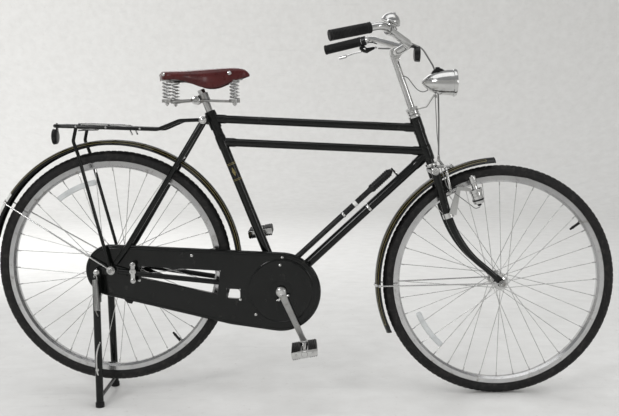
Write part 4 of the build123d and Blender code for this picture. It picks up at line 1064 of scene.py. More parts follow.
# ------------------------------------------------------------------------------ frame
@dataclass
class FrameTrim:
    """Lugs, seat clamp, lining and small fittings of the frame."""

    body: str = "frame"
    head_radius: float = 16.0
    main_radius: float = 14.3
    top_radius: float = 12.2
    enamelled: tuple[str, ...] = ("head_tube", "seat_tube", "seat_lug", "upper_top_tube",
                                  "lower_top_tube", "down_tube", "bottom_bracket_shell",
                                  "chain_stays", "seat_stays", "rear_rack", "pump_pegs",
                                  "stand_bracket", "brake_arm")

    def build(self) -> None:
        """Make the frame's trim and dress its nodes."""
        for node in self.enamelled:
            dress(frame["nodes"][node], ENAMEL)
        dress(frame["nodes"]["seat_post"], CHROME)
        dress(frame["nodes"]["seat_bolt"], CHROME)
        self.lugs()
        self.seat_clamp()
        self.bracket_cups()
        self.bands()
        self.axle_nuts()

    def lugs(self) -> None:
        """Turn the sleeves where the tubes meet the head and seat tubes."""
        upper = HEAD_TOP - HEAD_UP * 33.0
        lower = HEAD_LOW + HEAD_UP * 39.0
        down = HEAD_LOW + HEAD_UP * 30.5
        seat_upper, seat_lower = SEAT_LUG - SEAT_UP * 14.5, SEAT_LUG - SEAT_UP * 90.0
        pieces = []
        for near, far, radius in ((upper, seat_upper, self.top_radius),
                                  (seat_upper, upper, self.top_radius),
                                  (lower, seat_lower, self.top_radius),
                                  (seat_lower, lower, self.top_radius),
                                  (down, BRACKET, self.main_radius)):
            way = (far - near).normalized()
            hidden = 8.0 if radius == self.top_radius else 20.0
            pieces.append(sleeve("lug", near + way * hidden, near + way * (hidden + 34.0), radius,
                                 1.6))
        for foot in (BRACKET + SEAT_UP * 8.0, BRACKET + (down - BRACKET).normalized() * 8.0):
            way = (foot - BRACKET).normalized()
            pieces.append(sleeve("lug", foot, foot + way * 30.0, self.main_radius, 1.8))
        for top, length in ((HEAD_TOP - HEAD_UP * 0.4, 50.0), (HEAD_LOW + HEAD_UP * 58.0, 46.0)):
            pieces.append(sleeve("lug", top, top - HEAD_UP * length, self.head_radius, 1.5))
        pieces.append(sleeve("lug", seat_lower + SEAT_UP * 22.0, seat_lower - SEAT_UP * 22.0,
                             self.main_radius, 1.6))
        hand_over(joined("frame_lugs", pieces), ENAMEL, self.body)

    def seat_clamp(self) -> None:
        """Make the seat clamp's bolt heads, its ears and the collar round the post."""
        heads = [fastener("head", SEAT_BOLT + LEFT * side * 45.0, LEFT * side, 9.0, Head.DOME)
                 for side in (-1, 1)]
        hand_over(joined("seat_bolt_caps", heads), CHROME, self.body)
        collar = sleeve("collar", SEAT_LUG + SEAT_UP * 1.0, SEAT_LUG + SEAT_UP * 9.0, 13.2, 3.6,
                        2.2)
        ears = [plate("ear", [SEAT_BOLT + Vector((along, side * 17.6, rise)) for along, rise in
                              ((-9, 2), (-4, 9), (6, 12), (14, 8), (14, -14), (4, -12), (-6, -7))],
                      LEFT * side * 2.4, 0.8) for side in (-1, 1)]
        hand_over(joined("seat_clamp_ears", [collar, *ears]), ENAMEL, self.body)

    def bracket_cups(self) -> None:
        """Turn the cup and lockring at the left end of the bracket shell, and its oiler."""
        ring = [(0, 9.0), (0, 19.4), (1.4, 19.4), (2.2, 18.0), (3.4, 17.2), (3.4, 9.0), (0, 9.0)]
        left = turned("cup", ring, BRACKET + LEFT * 34.2, LEFT, 36)
        lock = turned("lock", flat_ring(0, 3.0, 17.0, 22.4), BRACKET + LEFT * 34.2, LEFT, 12)
        oiler = fastener("oiler", BRACKET + direction(150) * 19.9 + LEFT * 6.0, direction(150), 3.4,
                         Head.DOME)
        hand_over(joined("bracket_cups", [left, lock, oiler]), CHROME, self.body)

    def bands(self) -> None:
        """Lay gold bands round the seat tube and a small lozenge between them."""
        pieces = []
        for rise in (358.0, 362.0, 408.0, 412.0):
            foot = BRACKET + SEAT_UP * rise
            band = flat_ring(0, 1.3, 14.25, 14.45)
            pieces.append(turned("band", band, foot, SEAT_UP, 48))
        for side in (-1, 1):
            middle = BRACKET + SEAT_UP * 385.5 + LEFT * side * 12.6
            lozenge = [middle + SEAT_UP * 15.0, middle + AHEAD * 5.5, middle - SEAT_UP * 15.0,
                       middle - AHEAD * 5.5]
            pieces.append(plate("lozenge", lozenge, LEFT * side * 1.9, 0.4))
        hand_over(joined("seat_tube_bands", pieces), GOLD_LINE, self.body)

    def axle_nuts(self) -> None:
        """Make the hexagon nuts, washers and domed ends on the rear axle."""
        pieces = []
        for side in (-1, 1):
            way = LEFT * side
            face = REAR_HUB + way * 71.6
            pieces.append(turned("washer", flat_ring(-0.4, 1.2, 5.0, 12.5), face, way, 32))
            nut = [(1.2, 0), (1.2, 10.9), (8.2, 10.9), (9.6, 9.3), (9.6, 0)]
            pieces.append(turned("nut", nut, face, way, 6))
            pieces.append(turned("end", [(9.0, 0), (9.0, 6.6), (12.4, 5.9), (13.8, 4.0), (14.2, 0)],
                                 face, way, 24))
        hand_over(joined("rear_axle_nuts", pieces), CHROME, self.body)
        dress(frame["nodes"]["rear_axle"], DULL_STEEL)


@dataclass
class Pump:
    """The frame pump carried above the down tube."""

    body: str = "frame"
    barrel: float = 9.5
    handle: float = 13.0
    length: float = 308.0
    handle_length: float = 78.0

    def build(self) -> None:
        """Turn the barrel, its bands, the grooved handle and its wire hook."""
        run = (HEAD_LOW + HEAD_UP * 30.5 - BRACKET).normalized()
        over = Vector((-run.z, 0, run.x))
        foot = BRACKET + over * 37.0 + run * 98.0
        body = [(0, 0), (0, 6.5), (2, 8.8), (12, 9.3), (14, 8.7), (self.length - 6, 8.7),
                (self.length - 4, self.barrel), (self.length, self.barrel), (self.length, 0)]
        grip: list[Pair] = [(0, 0), (0, 10.5), (3, 12.6)]
        for n in range(9):
            along = 8.0 + n * 7.2
            grip += [(along, self.handle), (along + 3.4, self.handle),
                     (along + 4.6, self.handle - 1.3), (along + 6.0, self.handle - 1.3)]
        grip += [(self.handle_length - 3, self.handle), (self.handle_length, 10.0),
                 (self.handle_length + 7.5, 6.2), (self.handle_length + 8.0, 0)]
        top = foot + run * self.length
        pieces = [turned("pump_barrel", body, foot, run, 28),
                  turned("pump_handle", grip, top, run, 28)]
        hand_over(joined("pump_body", pieces), PLASTIC, self.body, stands_for=["pump"])
        white = flat_ring(238, 250, 8.6, 9.45)
        hand_over(turned("pump_white_band", white, foot, run, 28), WHITE_PAINT_AND_HIGHLIGHT, self.body,
                  slot="black_plastic")
        ring = [(192, 8.6), (192, 10.0), (193, 10.6), (198, 10.6), (199, 10.0), (199, 8.6),
                (192, 8.6)]
        tip = top + run * self.handle_length
        hook = wire("hook",
                    [tip + run * 3.0, tip + run * 15.0 - over * 3.0, tip + run * 13.0 - over * 22.0,
                     tip + run * 2.0 - over * 24.0], 1.7, 3)
        catch = wire("catch",
                     [foot - run * 1.0, foot - run * 9.0, foot - run * 8.0 - over * 10.0,
                      foot - over * 20.0], 1.7, 3)
        clip = sleeve("clip", BRACKET + run * 360.0, BRACKET + run * 368.0, 14.3, 1.0, 0.6)
        screw = fastener("screw", BRACKET + run * 364.0 - LEFT * 15.2, -LEFT, 3.2, Head.HEX)
        metal = [turned("ring", ring, foot, run, 28), hook, catch, clip, screw]
        hand_over(joined("pump_fittings", metal), CHROME, self.body)


# ------------------------------------------------------------------------------ chain case
@dataclass
class ChainCase:
    """Beading, bands, screws and clips of the full chain case."""

    body: str = "frame"
    face: float = -52.0
    rounds: tuple[tuple[float, float, float], ...] = ((506.5, -5.2, 120.0), (375.0, -15.0, 108.0),
                                                      (-2.5, -4.35, 77.5))
    disc_radius: float = 98.0
    window: tuple[Pair, ...] = ((83, 21.5), (326, 39.0), (316, -37.0), (83, -15.5))
    port: tuple[Pair, ...] = ((343, -13.1), (385, -10.2), (385, -42.2), (343, -45.1))
    screws: tuple[Pair, ...] = ((81, 377), (384, 315), (512, 442), (430, 268), (240, 451))

    def on_line(self, along: float, rise: float, out: float) -> Vector:
        """Return a point by its rise above the line from the rear axle to the crank axle."""
        share = along / (BRACKET.x - REAR_HUB.x)
        return Vector((REAR_HUB.x + along, out,
                       REAR_HUB.z + (BRACKET.z - REAR_HUB.z) * share + rise))

    def outline(self, grow: float, out: float) -> list[Vector]:
        """Return points round the case's edge, grown outwards, at a distance leftward."""
        around = []
        for along, rise, radius in self.rounds:
            middle = self.on_line(along, rise, 0)
            around += [middle + direction(n * 4.0) * (radius + grow) for n in range(90)]
        around.sort(key=lambda at: (at.x, at.z))
        edge = []
        for row in (around, around[::-1]):
            side = []
            for at in row:
                while len(side) > 1 and (side[-1] - side[-2]).cross(at - side[-2]).y >= 0:
                    side.pop()
                side.append(at)
            edge += side[:-1]
        return [at + LEFT * out for at in edge]

    def build(self) -> None:
        """Make the case's trim and dress its nodes."""
        self.seams()
        self.disc()
        self.hardware()
        dress(frame["nodes"]["chain_case"], ENAMEL)
        dress(frame["nodes"]["chain_case_clip"], CHROME)

    def seams(self) -> None:
        """Run the rolled seam round the case and the turned edges round its openings."""
        seam = self.outline(0.3, -42.0)
        pieces = [wire("seam", [*seam, seam[0]], 1.5, 2)]
        rim = self.outline(-9.0, self.face + 0.2)
        pieces.append(wire("crease", [*rim, rim[0]], 0.9, 2))
        for corners, eased in ((self.window, 6.0), (self.port, 6.0)):
            points = []
            around = [self.on_line(along, rise, self.face + 0.6) for along, rise in corners]
            for before, at, after in zip(around[-1:] + around[:-1], around,
                                         around[1:] + around[:1]):
                points += [at + (before - at).normalized() * eased,
                           at + (after - at).normalized() * eased]
            pieces.append(wire("opening", [*points, points[0]], 1.2, 2))
        hand_over(joined("chain_case_seams", pieces), ENAMEL, self.body)

    def disc(self) -> None:
        """Turn the raised front cover's rim and the pressed steps round its middle."""
        foot = BRACKET + LEFT * (self.face - 2.5)
        rim = [(-3.0, self.disc_radius - 0.4), (-3.0, self.disc_radius + 1.2),
               (0.4, self.disc_radius + 1.2), (1.5, self.disc_radius - 0.6),
               (1.5, self.disc_radius - 3.0), (0.2, self.disc_radius - 4.6),
               (-1.0, self.disc_radius - 4.6), (-3.0, self.disc_radius - 0.4)]
        step = [(-0.6, 34.0), (0.7, 33.0), (0.9, 30.0), (0.2, 27.0), (-0.6, 27.0), (-0.6, 34.0)]
        pieces = [turned("rim", rim, foot, -LEFT, 120), turned("step", step, foot, -LEFT, 72)]
        hand_over(joined("chain_case_disc_rim", pieces), ENAMEL, self.body)

    def hardware(self) -> None:
        """Fit the case's screws, the clip's eye and the small bracket below it."""
        heads = [fastener("screw", from_axle(along, self.face, height), -LEFT, 3.4)
                 for along, height in self.screws]
        heads.append(fastener("screw", BRACKET + direction(92) * 80.0 + LEFT * (self.face - 2.5),
                              -LEFT, 3.4))
        middle = self.on_line(66.0, 2.0, -72.6)
        for rise in (-24.0, 24.0):
            heads.append(fastener("nut", middle + UP * rise, -LEFT, 6.4, Head.HEX))
        eye = [(0, 4.5), (0, 9.5), (1.6, 9.5), (2.0, 4.5), (0, 4.5)]
        heads.append(turned("eye", eye, middle + UP * 4.0, -LEFT, 28))
        hand_over(joined("chain_case_screws", heads), CHROME, self.body)
        corners = [from_axle(along, -44.0, height)
                   for along, height in ((22, 345), (30, 318), (40, 306), (54, 303), (60, 312),
                                         (58, 326), (72, 334))]
        lug = plate("lug", corners, LEFT * 2.2, 0.5)
        pin = fastener("pin", from_axle(47, -46.4, 314), -LEFT, 3.0, Head.HEX)
        hand_over(joined("chain_case_bracket", [lug, pin]), ENAMEL, self.body)


# ------------------------------------------------------------------------------ saddle
@dataclass
class Saddle:
    """The leather top, its rivets and the clamp's bolts, placed from the seat post's clamp."""

    body: str = "frame"
    leather: float = 3.4
    rim: tuple[Pair, ...] = ((-0.93, 0), (-0.99, 0.22), (-1.0, 0.48), (-0.965, 0.70), (-0.86, 0.86),
                             (-0.66, 0.945), (-0.36, 0.985), (0, 1.0))
    stations: tuple[tuple[float, float, float, float], ...] = (
        (-118.5, 58, 47.5, 50), (-120.4, 59, 47.5, 66), (-118.2, 61, 47.5, 76),
        (-113, 80, 47.5, 77.2), (-107, 91, 47.6, 77.5), (-98, 99, 48, 77.7), (-87, 102, 48.2, 78),
        (-70, 100.5, 48.4, 78), (-55, 98, 46.6, 78), (-38, 88.5, 42, 79.5), (-20, 77, 36, 81.5),
        (-2, 64, 28, 83), (18, 51, 25.5, 84.7), (40, 42.5, 26, 86), (63, 34.5, 34, 87.2),
        (88, 30, 45.5, 88), (107, 27, 51.5, 87), (120, 23.5, 56, 85), (129, 18.5, 59, 79.5),
        (135, 12, 60.5, 73.5), (138.2, 5, 61.5, 69), (139.0, 1.6, 62.5, 66))

    def build(self) -> None:
        """Form the leather, then rivet it down and dress the frame below it."""
        self.top()
        self.rivets()
        self.clamp()
        dress(frame["nodes"]["saddle_frame"], DULL_STEEL)
        dress(frame["nodes"]["saddle_springs"], CHROME)

    def top(self) -> None:
        """Draw the leather out from the rear edge to the nose and give it its thickness."""
        whole = [*self.rim, *[(-out, rise) for out, rise in self.rim[-2::-1]]]
        leather = arch("saddle_leather_top", whole, self.stations, POST_CLAMP)
        thicken(leather, self.leather)
        hand_over(leather, LEATHER, self.body, stands_for=["saddle_cover"], crease=60.0)

    def rivets(self) -> None:
        """Set the rivets round the rear edge and on both sides of the nose."""
        heads = []
        for out in (-48.0, -24.0, 0.0, 24.0, 48.0):
            heads.append(fastener("rivet", POST_CLAMP + Vector((-120.4, out, 63.5)), -AHEAD, 4.6))
        for side in (-1, 1):
            heads.append(fastener("rivet", POST_CLAMP + Vector((-103.0, side * 95.0, 65.0)),
                                  Vector((-0.6, side, 0)), 4.6))
            heads.append(fastener("rivet", POST_CLAMP + Vector((81.0, side * 30.6, 71.0)),
                                  Vector((0.1, side, 0.1)), 4.8))
        hand_over(joined("saddle_rivets", heads), CHROME, self.body)

    def clamp(self) -> None:
        """Make the clamp's washers and nuts, the spring seats' nuts and the tension bolt."""
        pieces = []
        middle = POST_CLAMP + Vector((-22.0, 0, -8.0))
        for side in (-1, 1):
            face = middle + LEFT * side * 26.0
            ring = [(-0.4, 4.0), (-0.4, 12.5), (1.4, 12.5), (2.6, 10.4), (2.6, 4.0), (-0.4, 4.0)]
            pieces.append(turned("washer", ring, face, LEFT * side, 24))
            pieces.append(fastener("nut", face + LEFT * side * 2.6, LEFT * side, 7.0, Head.HEX))
            for along, out in ((-98.0, 74.0), (92.0, 15.5)):
                foot = POST_CLAMP + Vector((along, side * out, -16.0))
                pieces.append(fastener("nut", foot, -UP, 5.6, Head.HEX))
        pieces.append(rod("tension_bolt", POST_CLAMP + Vector((62, 0, 51)),
                          POST_CLAMP + Vector((112, 0, 55)), 3.2))
        pieces.append(fastener("tension_nut", POST_CLAMP + Vector((74, 0, 52)), AHEAD, 6.5,
                               Head.HEX))
        hand_over(joined("saddle_clamp_bolts", pieces), CHROME, self.body)


# ------------------------------------------------------------------------------ rack
@dataclass
class Rack:
    """The rear rack's sprung clip, its plates and the red reflector behind it."""

    body: str = "frame"
    back: float = -161.7
    arm_out: float = 36.0
    arm_height: float = 8.3
    arm: float = 2.4

    def on_top(self, along: float, out: float, rise: float) -> Vector:
        """Return a point of the platform by its distance ahead of the axle, left and above it."""
        slope = (152.0 - along) * 13.0 / 308.0
        return Vector((REAR_HUB.x + along, out, SEAT_BOLT.z - 26.0 + slope + rise))

    def build(self) -> None:
        """Make the clip and the reflector."""
        self.clip()
        self.bolts()
        self.reflector()

    def clip(self) -> None:
        """Bend the clip's arms and wind its two springs round the rear cross bar."""
        pieces = []
        for side in (-1, 1):
            out = side * self.arm_out
            path = [self.on_top(*at)
                    for at in ((71, out, -20), (66, out, -8), (59, out, self.arm_height),
                               (-20, out, self.arm_height), (-72, out, self.arm_height + 0.6),
                               (-88, out, self.arm_height))]
            pieces.append(wire("arm", path, self.arm))
            foot = self.on_top(-88.0, out, 0)
            pieces.append(coil("spring", foot, -LEFT * side, 20.0, 6.7, 1.7, 5))
            lower = [self.on_top(*at)
                     for at in ((-88, side * 15.5, -6.6), (-70, side * 15.5, -10.5),
                                (-44, side * 15.5, -9.5))]
            pieces.append(wire("leg", lower, 1.7))
        for along in (-60.0, 10.0, 50.0):
            pieces.append(rod("bar", self.on_top(along, -self.arm_out, self.arm_height),
                              self.on_top(along, self.arm_out, self.arm_height), 2.0, 0.3, 12))
        hand_over(joined("rack_clip", pieces), CHROME, self.body)
        leaf = block("rack_clip_plate", self.on_top(-68.0, 0, -10.2), Vector((52.0, 46.0, 3.0)),
                     1.0, -2.4)
        hand_over(leaf, ENAMEL, self.body)

    def bolts(self) -> None:
        """Put small bolts where the struts and the cross bars meet the rails."""
        pieces = []
        for side in (-1, 1):
            for along in (-88.0, 0.0, 100.0):
                pieces.append(fastener("bolt", self.on_top(along, side * 66.4, 0), LEFT * side,
                                       2.6))
        hand_over(joined("rack_bolts", pieces), DULL_STEEL, self.body)

    def reflector(self) -> None:
        """Turn the reflector's cup, rim and lens and hang them by a strap."""
        middle = self.on_top(self.back, 0, -33.0)
        cup = [(0, 0), (0, 17), (1.5, 20.5), (4, 22.6), (10.4, 23.6), (12.4, 24.0), (13.0, 23.4),
               (13.0, 21.6), (11.6, 21.4), (11.4, 0)]
        strap = [middle + Vector((0, -9, 14)), middle + Vector((0, 9, 14)),
                 middle + Vector((0, 9, 34)), middle + Vector((0, 5, 41)),
                 middle + Vector((0, -5, 41)), middle + Vector((0, -9, 34))]
        pieces = [turned("cup", cup, middle, -AHEAD, 48), plate("strap", strap, -AHEAD * 3.0, 0.7)]
        hand_over(joined("rear_reflector_cup", pieces), PLASTIC, self.body,
                  stands_for=["rear_reflector"])
        lens = [(11.2, 0), (11.2, 21.5), (12.4, 21.5), (12.9, 18), (13.0, 10), (13.0, 0)]
        hand_over(turned("rear_reflector_lens", lens, middle, -AHEAD, 48), RED_LENS, self.body)
        bolt = fastener("rear_reflector_bolt", middle + Vector((-3.0, 0, 33.0)), -AHEAD, 3.4)
        hand_over(bolt, CHROME, self.body)


# ------------------------------------------------------------------------------ rear stand
@dataclass
class RearStand:
    """The two-leg stand's spring, tread rod, pivot bolts and feet."""

    body: str = "rear_stand"
    leg_out: float = 82.0
    foot_out: float = 95.0
    leg: float = 11.0

    def beside_leg(self, side: int, height: float, away: float, ahead: float = 0.0) -> Vector:
        """Return a point beside one leg by its height and its distance from the leg's middle."""
        share = (372.0 - height) / 360.0
        out = self.leg_out + (self.foot_out - self.leg_out) * max(0.0, share)
        return Vector((REAR_HUB.x - 42.0 + max(0.0, share) + ahead, side * (out + away), height))

    def build(self) -> None:
        """Make the stand's fittings and dress its node."""
        dress(frame["nodes"]["stand"], ENAMEL)
        self.spring()
        self.fittings()

    def spring(self) -> None:
        """Wind the return spring with its hooks down the outside of the right leg."""
        high, low = self.beside_leg(-1, 390.0, 20.8, 3.0), self.beside_leg(-1, 298.0, 20.8, 7.0)
        way = (low - high).normalized()
        pieces = [coil("turns", high, way, (low - high).length, 6.8, 1.75, 27)]
        eye = high - way * 7.0
        pieces.append(wire("upper_hook",
                           [high + AHEAD * 5.0, eye + AHEAD * 6.0, eye - way * 7.0 + AHEAD * 3.0,
                            eye - way * 5.0 - AHEAD * 5.0, eye - AHEAD * 1.0],
                           1.5))
        tip = self.beside_leg(-1, 278.0, 10.5, 5.0)
        pieces.append(wire("lower_hook",
                           [low - AHEAD * 5.0, low + way * 8.0 - AHEAD * 3.0, low + way * 15.0,
                            tip], 1.5))
        hand_over(joined("stand_spring", pieces), DULL_STEEL, self.body)

    def fittings(self) -> None:
        """Add the pivot bolts, the tread rod, the foot bolts and the feet's rubber tips."""
        pieces = [wire("tread",
                       [self.beside_leg(-1, 199.0, 9.0, 8.0), self.beside_leg(-1, 194.0, 15.0, 6.0),
                        self.beside_leg(-1, 160.0, 15.0, -3.0),
                        self.beside_leg(-1, 106.0, 15.0, -2.0),
                        self.beside_leg(-1, 100.0, 9.0, 0.0)], 2.4)]
        tips = []
        for side in (-1, 1):
            pivot = Vector((REAR_HUB.x - 42.0, side * 75.7, REAR_HUB.z - 4.0))
            pieces.append(fastener("pivot", pivot, LEFT * side, 7.0, Head.HEX))
            pieces.append(fastener("bolt", self.beside_leg(side, 116.0, self.leg - 0.4, -2.0),
                                   LEFT * side, 4.0))
            foot = self.beside_leg(side, 0.0, 0.0)
            foot.y = side * self.foot_out
            tip = [(0, 0), (0, 12.4), (0.8, 13.4), (2.2, 13.6), (13.0, 13.0), (14.6, 12.2),
                   (14.6, 11.0), (12.0, 10.8), (12.0, 0)]
            tips.append(turned("tip", tip, foot, UP, 32))
        hand_over(joined("stand_fittings", pieces), CHROME, self.body)
        hand_over(joined("stand_feet", tips), RUBBER, self.body)


# ------------------------------------------------------------------------------ cranks and pedals
@dataclass
class Crankset:
    """The cottered cranks, their axle and the pedal spindles."""

    body: str = "crankset"
    angle: float = -66.3
    length: float = 172.0
    face: float = 58.0
    width: float = 13.0
    boss: float = 16.0
    eye: float = 12.0

    def tip(self, side: int) -> Vector:
        """Return where one crank carries its pedal."""
        return BRACKET + direction(self.angle) * self.length * -side

    def outline(self, side: int) -> list[Vector]:
        """Return one arm's outline: its boss, its taper and its eye."""
        run = direction(self.angle) * -side
        rise = Vector((-run.z, 0, run.x))
        inner = LEFT * side * self.face
        points = []
        for n in range(17):
            turn = math.radians(52.0 + n * 256.0 / 16)
            points.append(BRACKET + inner
                          + (run * math.cos(turn) + rise * math.sin(turn)) * self.boss)
        points.append(BRACKET + inner + run * 26.0 - rise * 10.6)
        points.append(BRACKET + inner + run * 150.0 - rise * 8.4)
        for n in range(13):
            turn = math.radians(-128.0 + n * 256.0 / 12)
            points.append(self.tip(side) + inner
                          + (run * math.cos(turn) + rise * math.sin(turn)) * self.eye)
        points.append(BRACKET + inner + run * 150.0 + rise * 8.4)
        points.append(BRACKET + inner + run * 26.0 + rise * 10.6)
        return points

    def build(self) -> None:
        """Make both arms, the axle's ends, the cotters and the spindles."""
        arms, bright = [], []
        for side in (-1, 1):
            way = LEFT * side
            arms.append(plate("arm", self.outline(side), way * self.width, 3.0))
            run = direction(self.angle) * -side
            rise = Vector((-run.z, 0, run.x))
            outer = self.face + self.width
            for middle, radius in ((BRACKET, 11.5), (self.tip(side), 8.8)):
                dome = [(-0.6, 0), (-0.6, radius), (0.8, radius), (1.8, radius - 1.6),
                        (2.4, radius - 4.4), (1.6, radius - 5.2), (1.8, 0)]
                bright.append(turned("dome", dome, middle + way * outer, way, 32))
            pin = BRACKET + run * 19.0 + way * (self.face + self.width / 2)
            bright.append(rod("cotter", pin - rise * 17.5, pin + rise * 18.5, 4.0, 1.0))
            bright.append(fastener("cotter_nut", pin - rise * 13.0, -rise, 6.0, Head.HEX))
            bright.append(rod("spindle", self.tip(side) + way * outer, self.tip(side) + way * 183.0,
                              5.0, 0.6))
            bright.append(turned("collar",
                                 [(0, 0), (0, 8.6), (5, 8.6), (6, 7.4), (11.5, 7.0), (11.5, 0)],
                                 self.tip(side) + way * outer, way, 28))
        bright.append(rod("axle", BRACKET - LEFT * self.face, BRACKET + LEFT * self.face, 8.0, 0.4))
        hand_over(joined("crank_arms", arms), DULL_STEEL, self.body, stands_for=["cranks"])
        hand_over(joined("crank_fittings", bright), CHROME, self.body)


@dataclass
class Pedal:
    """One block pedal: two ribbed rubbers between chromed end plates."""

    side: int
    tip: Vector
    tilt: float = 9.5
    inner: float = 84.0
    outer: float = 184.0
    plate_thick: float = 3.0

    @property
    def name(self) -> str:
        """Which side the pedal is on."""
        return "right" if self.side < 0 else "left"

    def at(self, along: float, rise: float, out: float) -> Vector:
        """Return a point about the spindle, turned to the pedal's resting tilt."""
        turn = math.radians(self.tilt)
        x = along * math.cos(turn) - rise * math.sin(turn)
        z = along * math.sin(turn) + rise * math.cos(turn)
        return Vector((self.tip.x + x, self.side * out, self.tip.z + z))

    def build(self) -> None:
        """Make the plates, the barrel with its cap, and the two rubbers."""
        body, way = f"{self.name}_pedal_body", LEFT * self.side
        metal = []
        wings = [(-38, -9), (-38, 9), (-36, 10.4), (-12, 10.8), (-8, 12), (8, 12), (12, 10.8),
                 (36, 10.4), (38, 9), (38, -9), (36, -10.4), (12, -10.8), (8, -12), (-8, -12),
                 (-12, -10.8), (-36, -10.4)]
        for near in (self.inner, self.outer - self.plate_thick):
            metal.append(plate("plate", [self.at(x, z, near) for x, z in wings],
                               way * self.plate_thick, 0.7))
        start = Vector((self.tip.x, self.side * self.inner, self.tip.z))
        barrel = [(0, 5.2), (0, 10.2), (3, 10.2), (4, 9.0), (92, 9.0), (94, 9.4), (100, 9.4),
                  (100, 5.2), (0, 5.2)]
        metal.append(turned("barrel", barrel, start, way, 32))
        cap = [(99.5, 0), (99.5, 9.6), (100.4, 9.6), (102, 8.4), (102.6, 5.0), (102.8, 0)]
        metal.append(turned("cap", cap, start, way, 28))
        for along in (-25.5, 24.5):
            foot = self.at(along, 0, self.outer)
            metal.append(fastener("nut", foot, way, 4.2, Head.HEX))
        hand_over(joined(f"{self.name}_pedal_plates", metal), CHROME, body,
                  stands_for=[f"{self.name}_pedal"])
        blocks = [self.rubber(low) for low in (-37.0, 12.0)]
        hand_over(joined(f"{self.name}_pedal_blocks", blocks), RUBBER, body,
                  stands_for=[f"{self.name}_pedal_rubbers"])

    def rubber(self, low: float) -> Piece:
        """Return one ribbed rubber whose rear edge is low ahead of the spindle."""
        top: list[Pair] = [(low, 10.5), (low + 1.2, 12.4)]
        for n in range(4):
            along = low + 2.4 + n * 5.6
            top += [(along, 13.0), (along + 3.4, 13.0), (along + 4.1, 11.2), (along + 4.9, 11.2)]
        top += [(low + 23.8, 12.4), (low + 25, 10.5)]
        outline = top + [(along, -rise) for along, rise in reversed(top)]
        near = self.inner + self.plate_thick
        return plate("rubber", [self.at(x, z, near) for x, z in outline], LEFT * self.side * 94.0,
                     0.5)


# ------------------------------------------------------------------------------ head and handlebar
@dataclass
class HeadFittings:
    """The headset's cups and locknut, the fork crown's caps and the bolts of the stem and bar."""

    crown_out: float = 48.5

    def build(self) -> None:
        """Turn the bearing parts and dress the fork, the stem and the bar."""
        for node, finish in (("fork", ENAMEL), ("stem", CHROME), ("handlebar", CHROME),
                             ("lamp_bracket", CHROME)):
            dress(frame["nodes"][node], finish)
        self.cups()
        self.locknut()
        self.crown_caps()
        self.bar_bolts()

    def cups(self) -> None:
        """Turn the two pressed cups with their rolled edges."""
        cup = [(0, 12.9), (0, 18.6), (0.8, 19.0), (6, 19.0), (7, 17.6), (9.6, 17.4), (10, 16.2),
               (10, 12.9), (0, 12.9)]
        cups = [turned("cup", cup, HEAD_TOP, HEAD_UP, 48),
                turned("cup", cup, HEAD_LOW, -HEAD_UP, 48)]
        hand_over(joined("headset_bearing_cups", cups), CHROME, "frame",
                  stands_for=["headset_cups"])

    def locknut(self) -> None:
        """Turn the knurled bearing nut, the keyed washer and the hexagonal locknut above them."""
        knurl = [(10.6, 13.0), (10.6, 16.4), (11.3, 17.4), (17.3, 17.4), (18.2, 16.4), (18.4, 16.0),
                 (18.4, 18.4), (19.0, 18.7), (20.6, 18.7), (21.2, 18.2), (21.2, 13.0), (10.6, 13.0)]
        hexagon = [(21.2, 13.0), (21.2, 16.6), (22.4, 18.3), (29.4, 18.3), (31.0, 16.4),
                   (31.2, 14.6), (31.2, 13.0), (21.2, 13.0)]
        pieces = [turned("knurl", knurl, HEAD_TOP, HEAD_UP, 44),
                  turned("hexagon", hexagon, HEAD_TOP, HEAD_UP, 6)]
        hand_over(joined("headset_nuts", pieces), CHROME, "steering",
                  stands_for=["headset_locknut"], crease=25.0)

    def crown_caps(self) -> None:
        """Set a ringed cap with a hexagon on both shoulders of the fork crown."""
        pieces = []
        for side in (-1, 1):
            foot = CROWN + LEFT * side * self.crown_out
            ring = [(-1, 0), (-1, 11.6), (0.4, 12.3), (1.8, 12.0), (2.6, 10.6), (2.0, 8.8),
                    (1.8, 7.6), (1.8, 0)]
            pieces.append(turned("cap", ring, foot, LEFT * side, 36))
            pieces.append(fastener("hexagon", foot + LEFT * side * 1.6, LEFT * side, 5.6, Head.HEX))
        hand_over(joined("fork_crown_caps", pieces), CHROME, "steering")

    def bar_bolts(self) -> None:
        """Ring the bar clamp's ends and put in the binder bolt, with a domed head and a hexagon
        nut.
        """
        pieces = []
        for side in (-1, 1):
            ring = [(0, 11.4), (0, 16.6), (0.6, 17.1), (2.4, 17.1), (3.2, 16.2), (3.2, 11.4),
                    (0, 11.4)]
            pieces.append(turned("ring", ring, BAR_CENTRE + LEFT * side * 16.6, LEFT * side, 36))
            foot = BAR_CENTRE + Vector((6, side * 9.5, -17))
            pieces.append(fastener("bolt", foot, LEFT * side, 5.4,
                                   Head.HEX if side > 0 else Head.DOME))
        pieces.append(rod("binder", BAR_CENTRE + Vector((6, -10, -17)),
                          BAR_CENTRE + Vector((6, 10, -17)), 3.2))
        hand_over(joined("bar_clamp_fittings", pieces), CHROME, "steering")


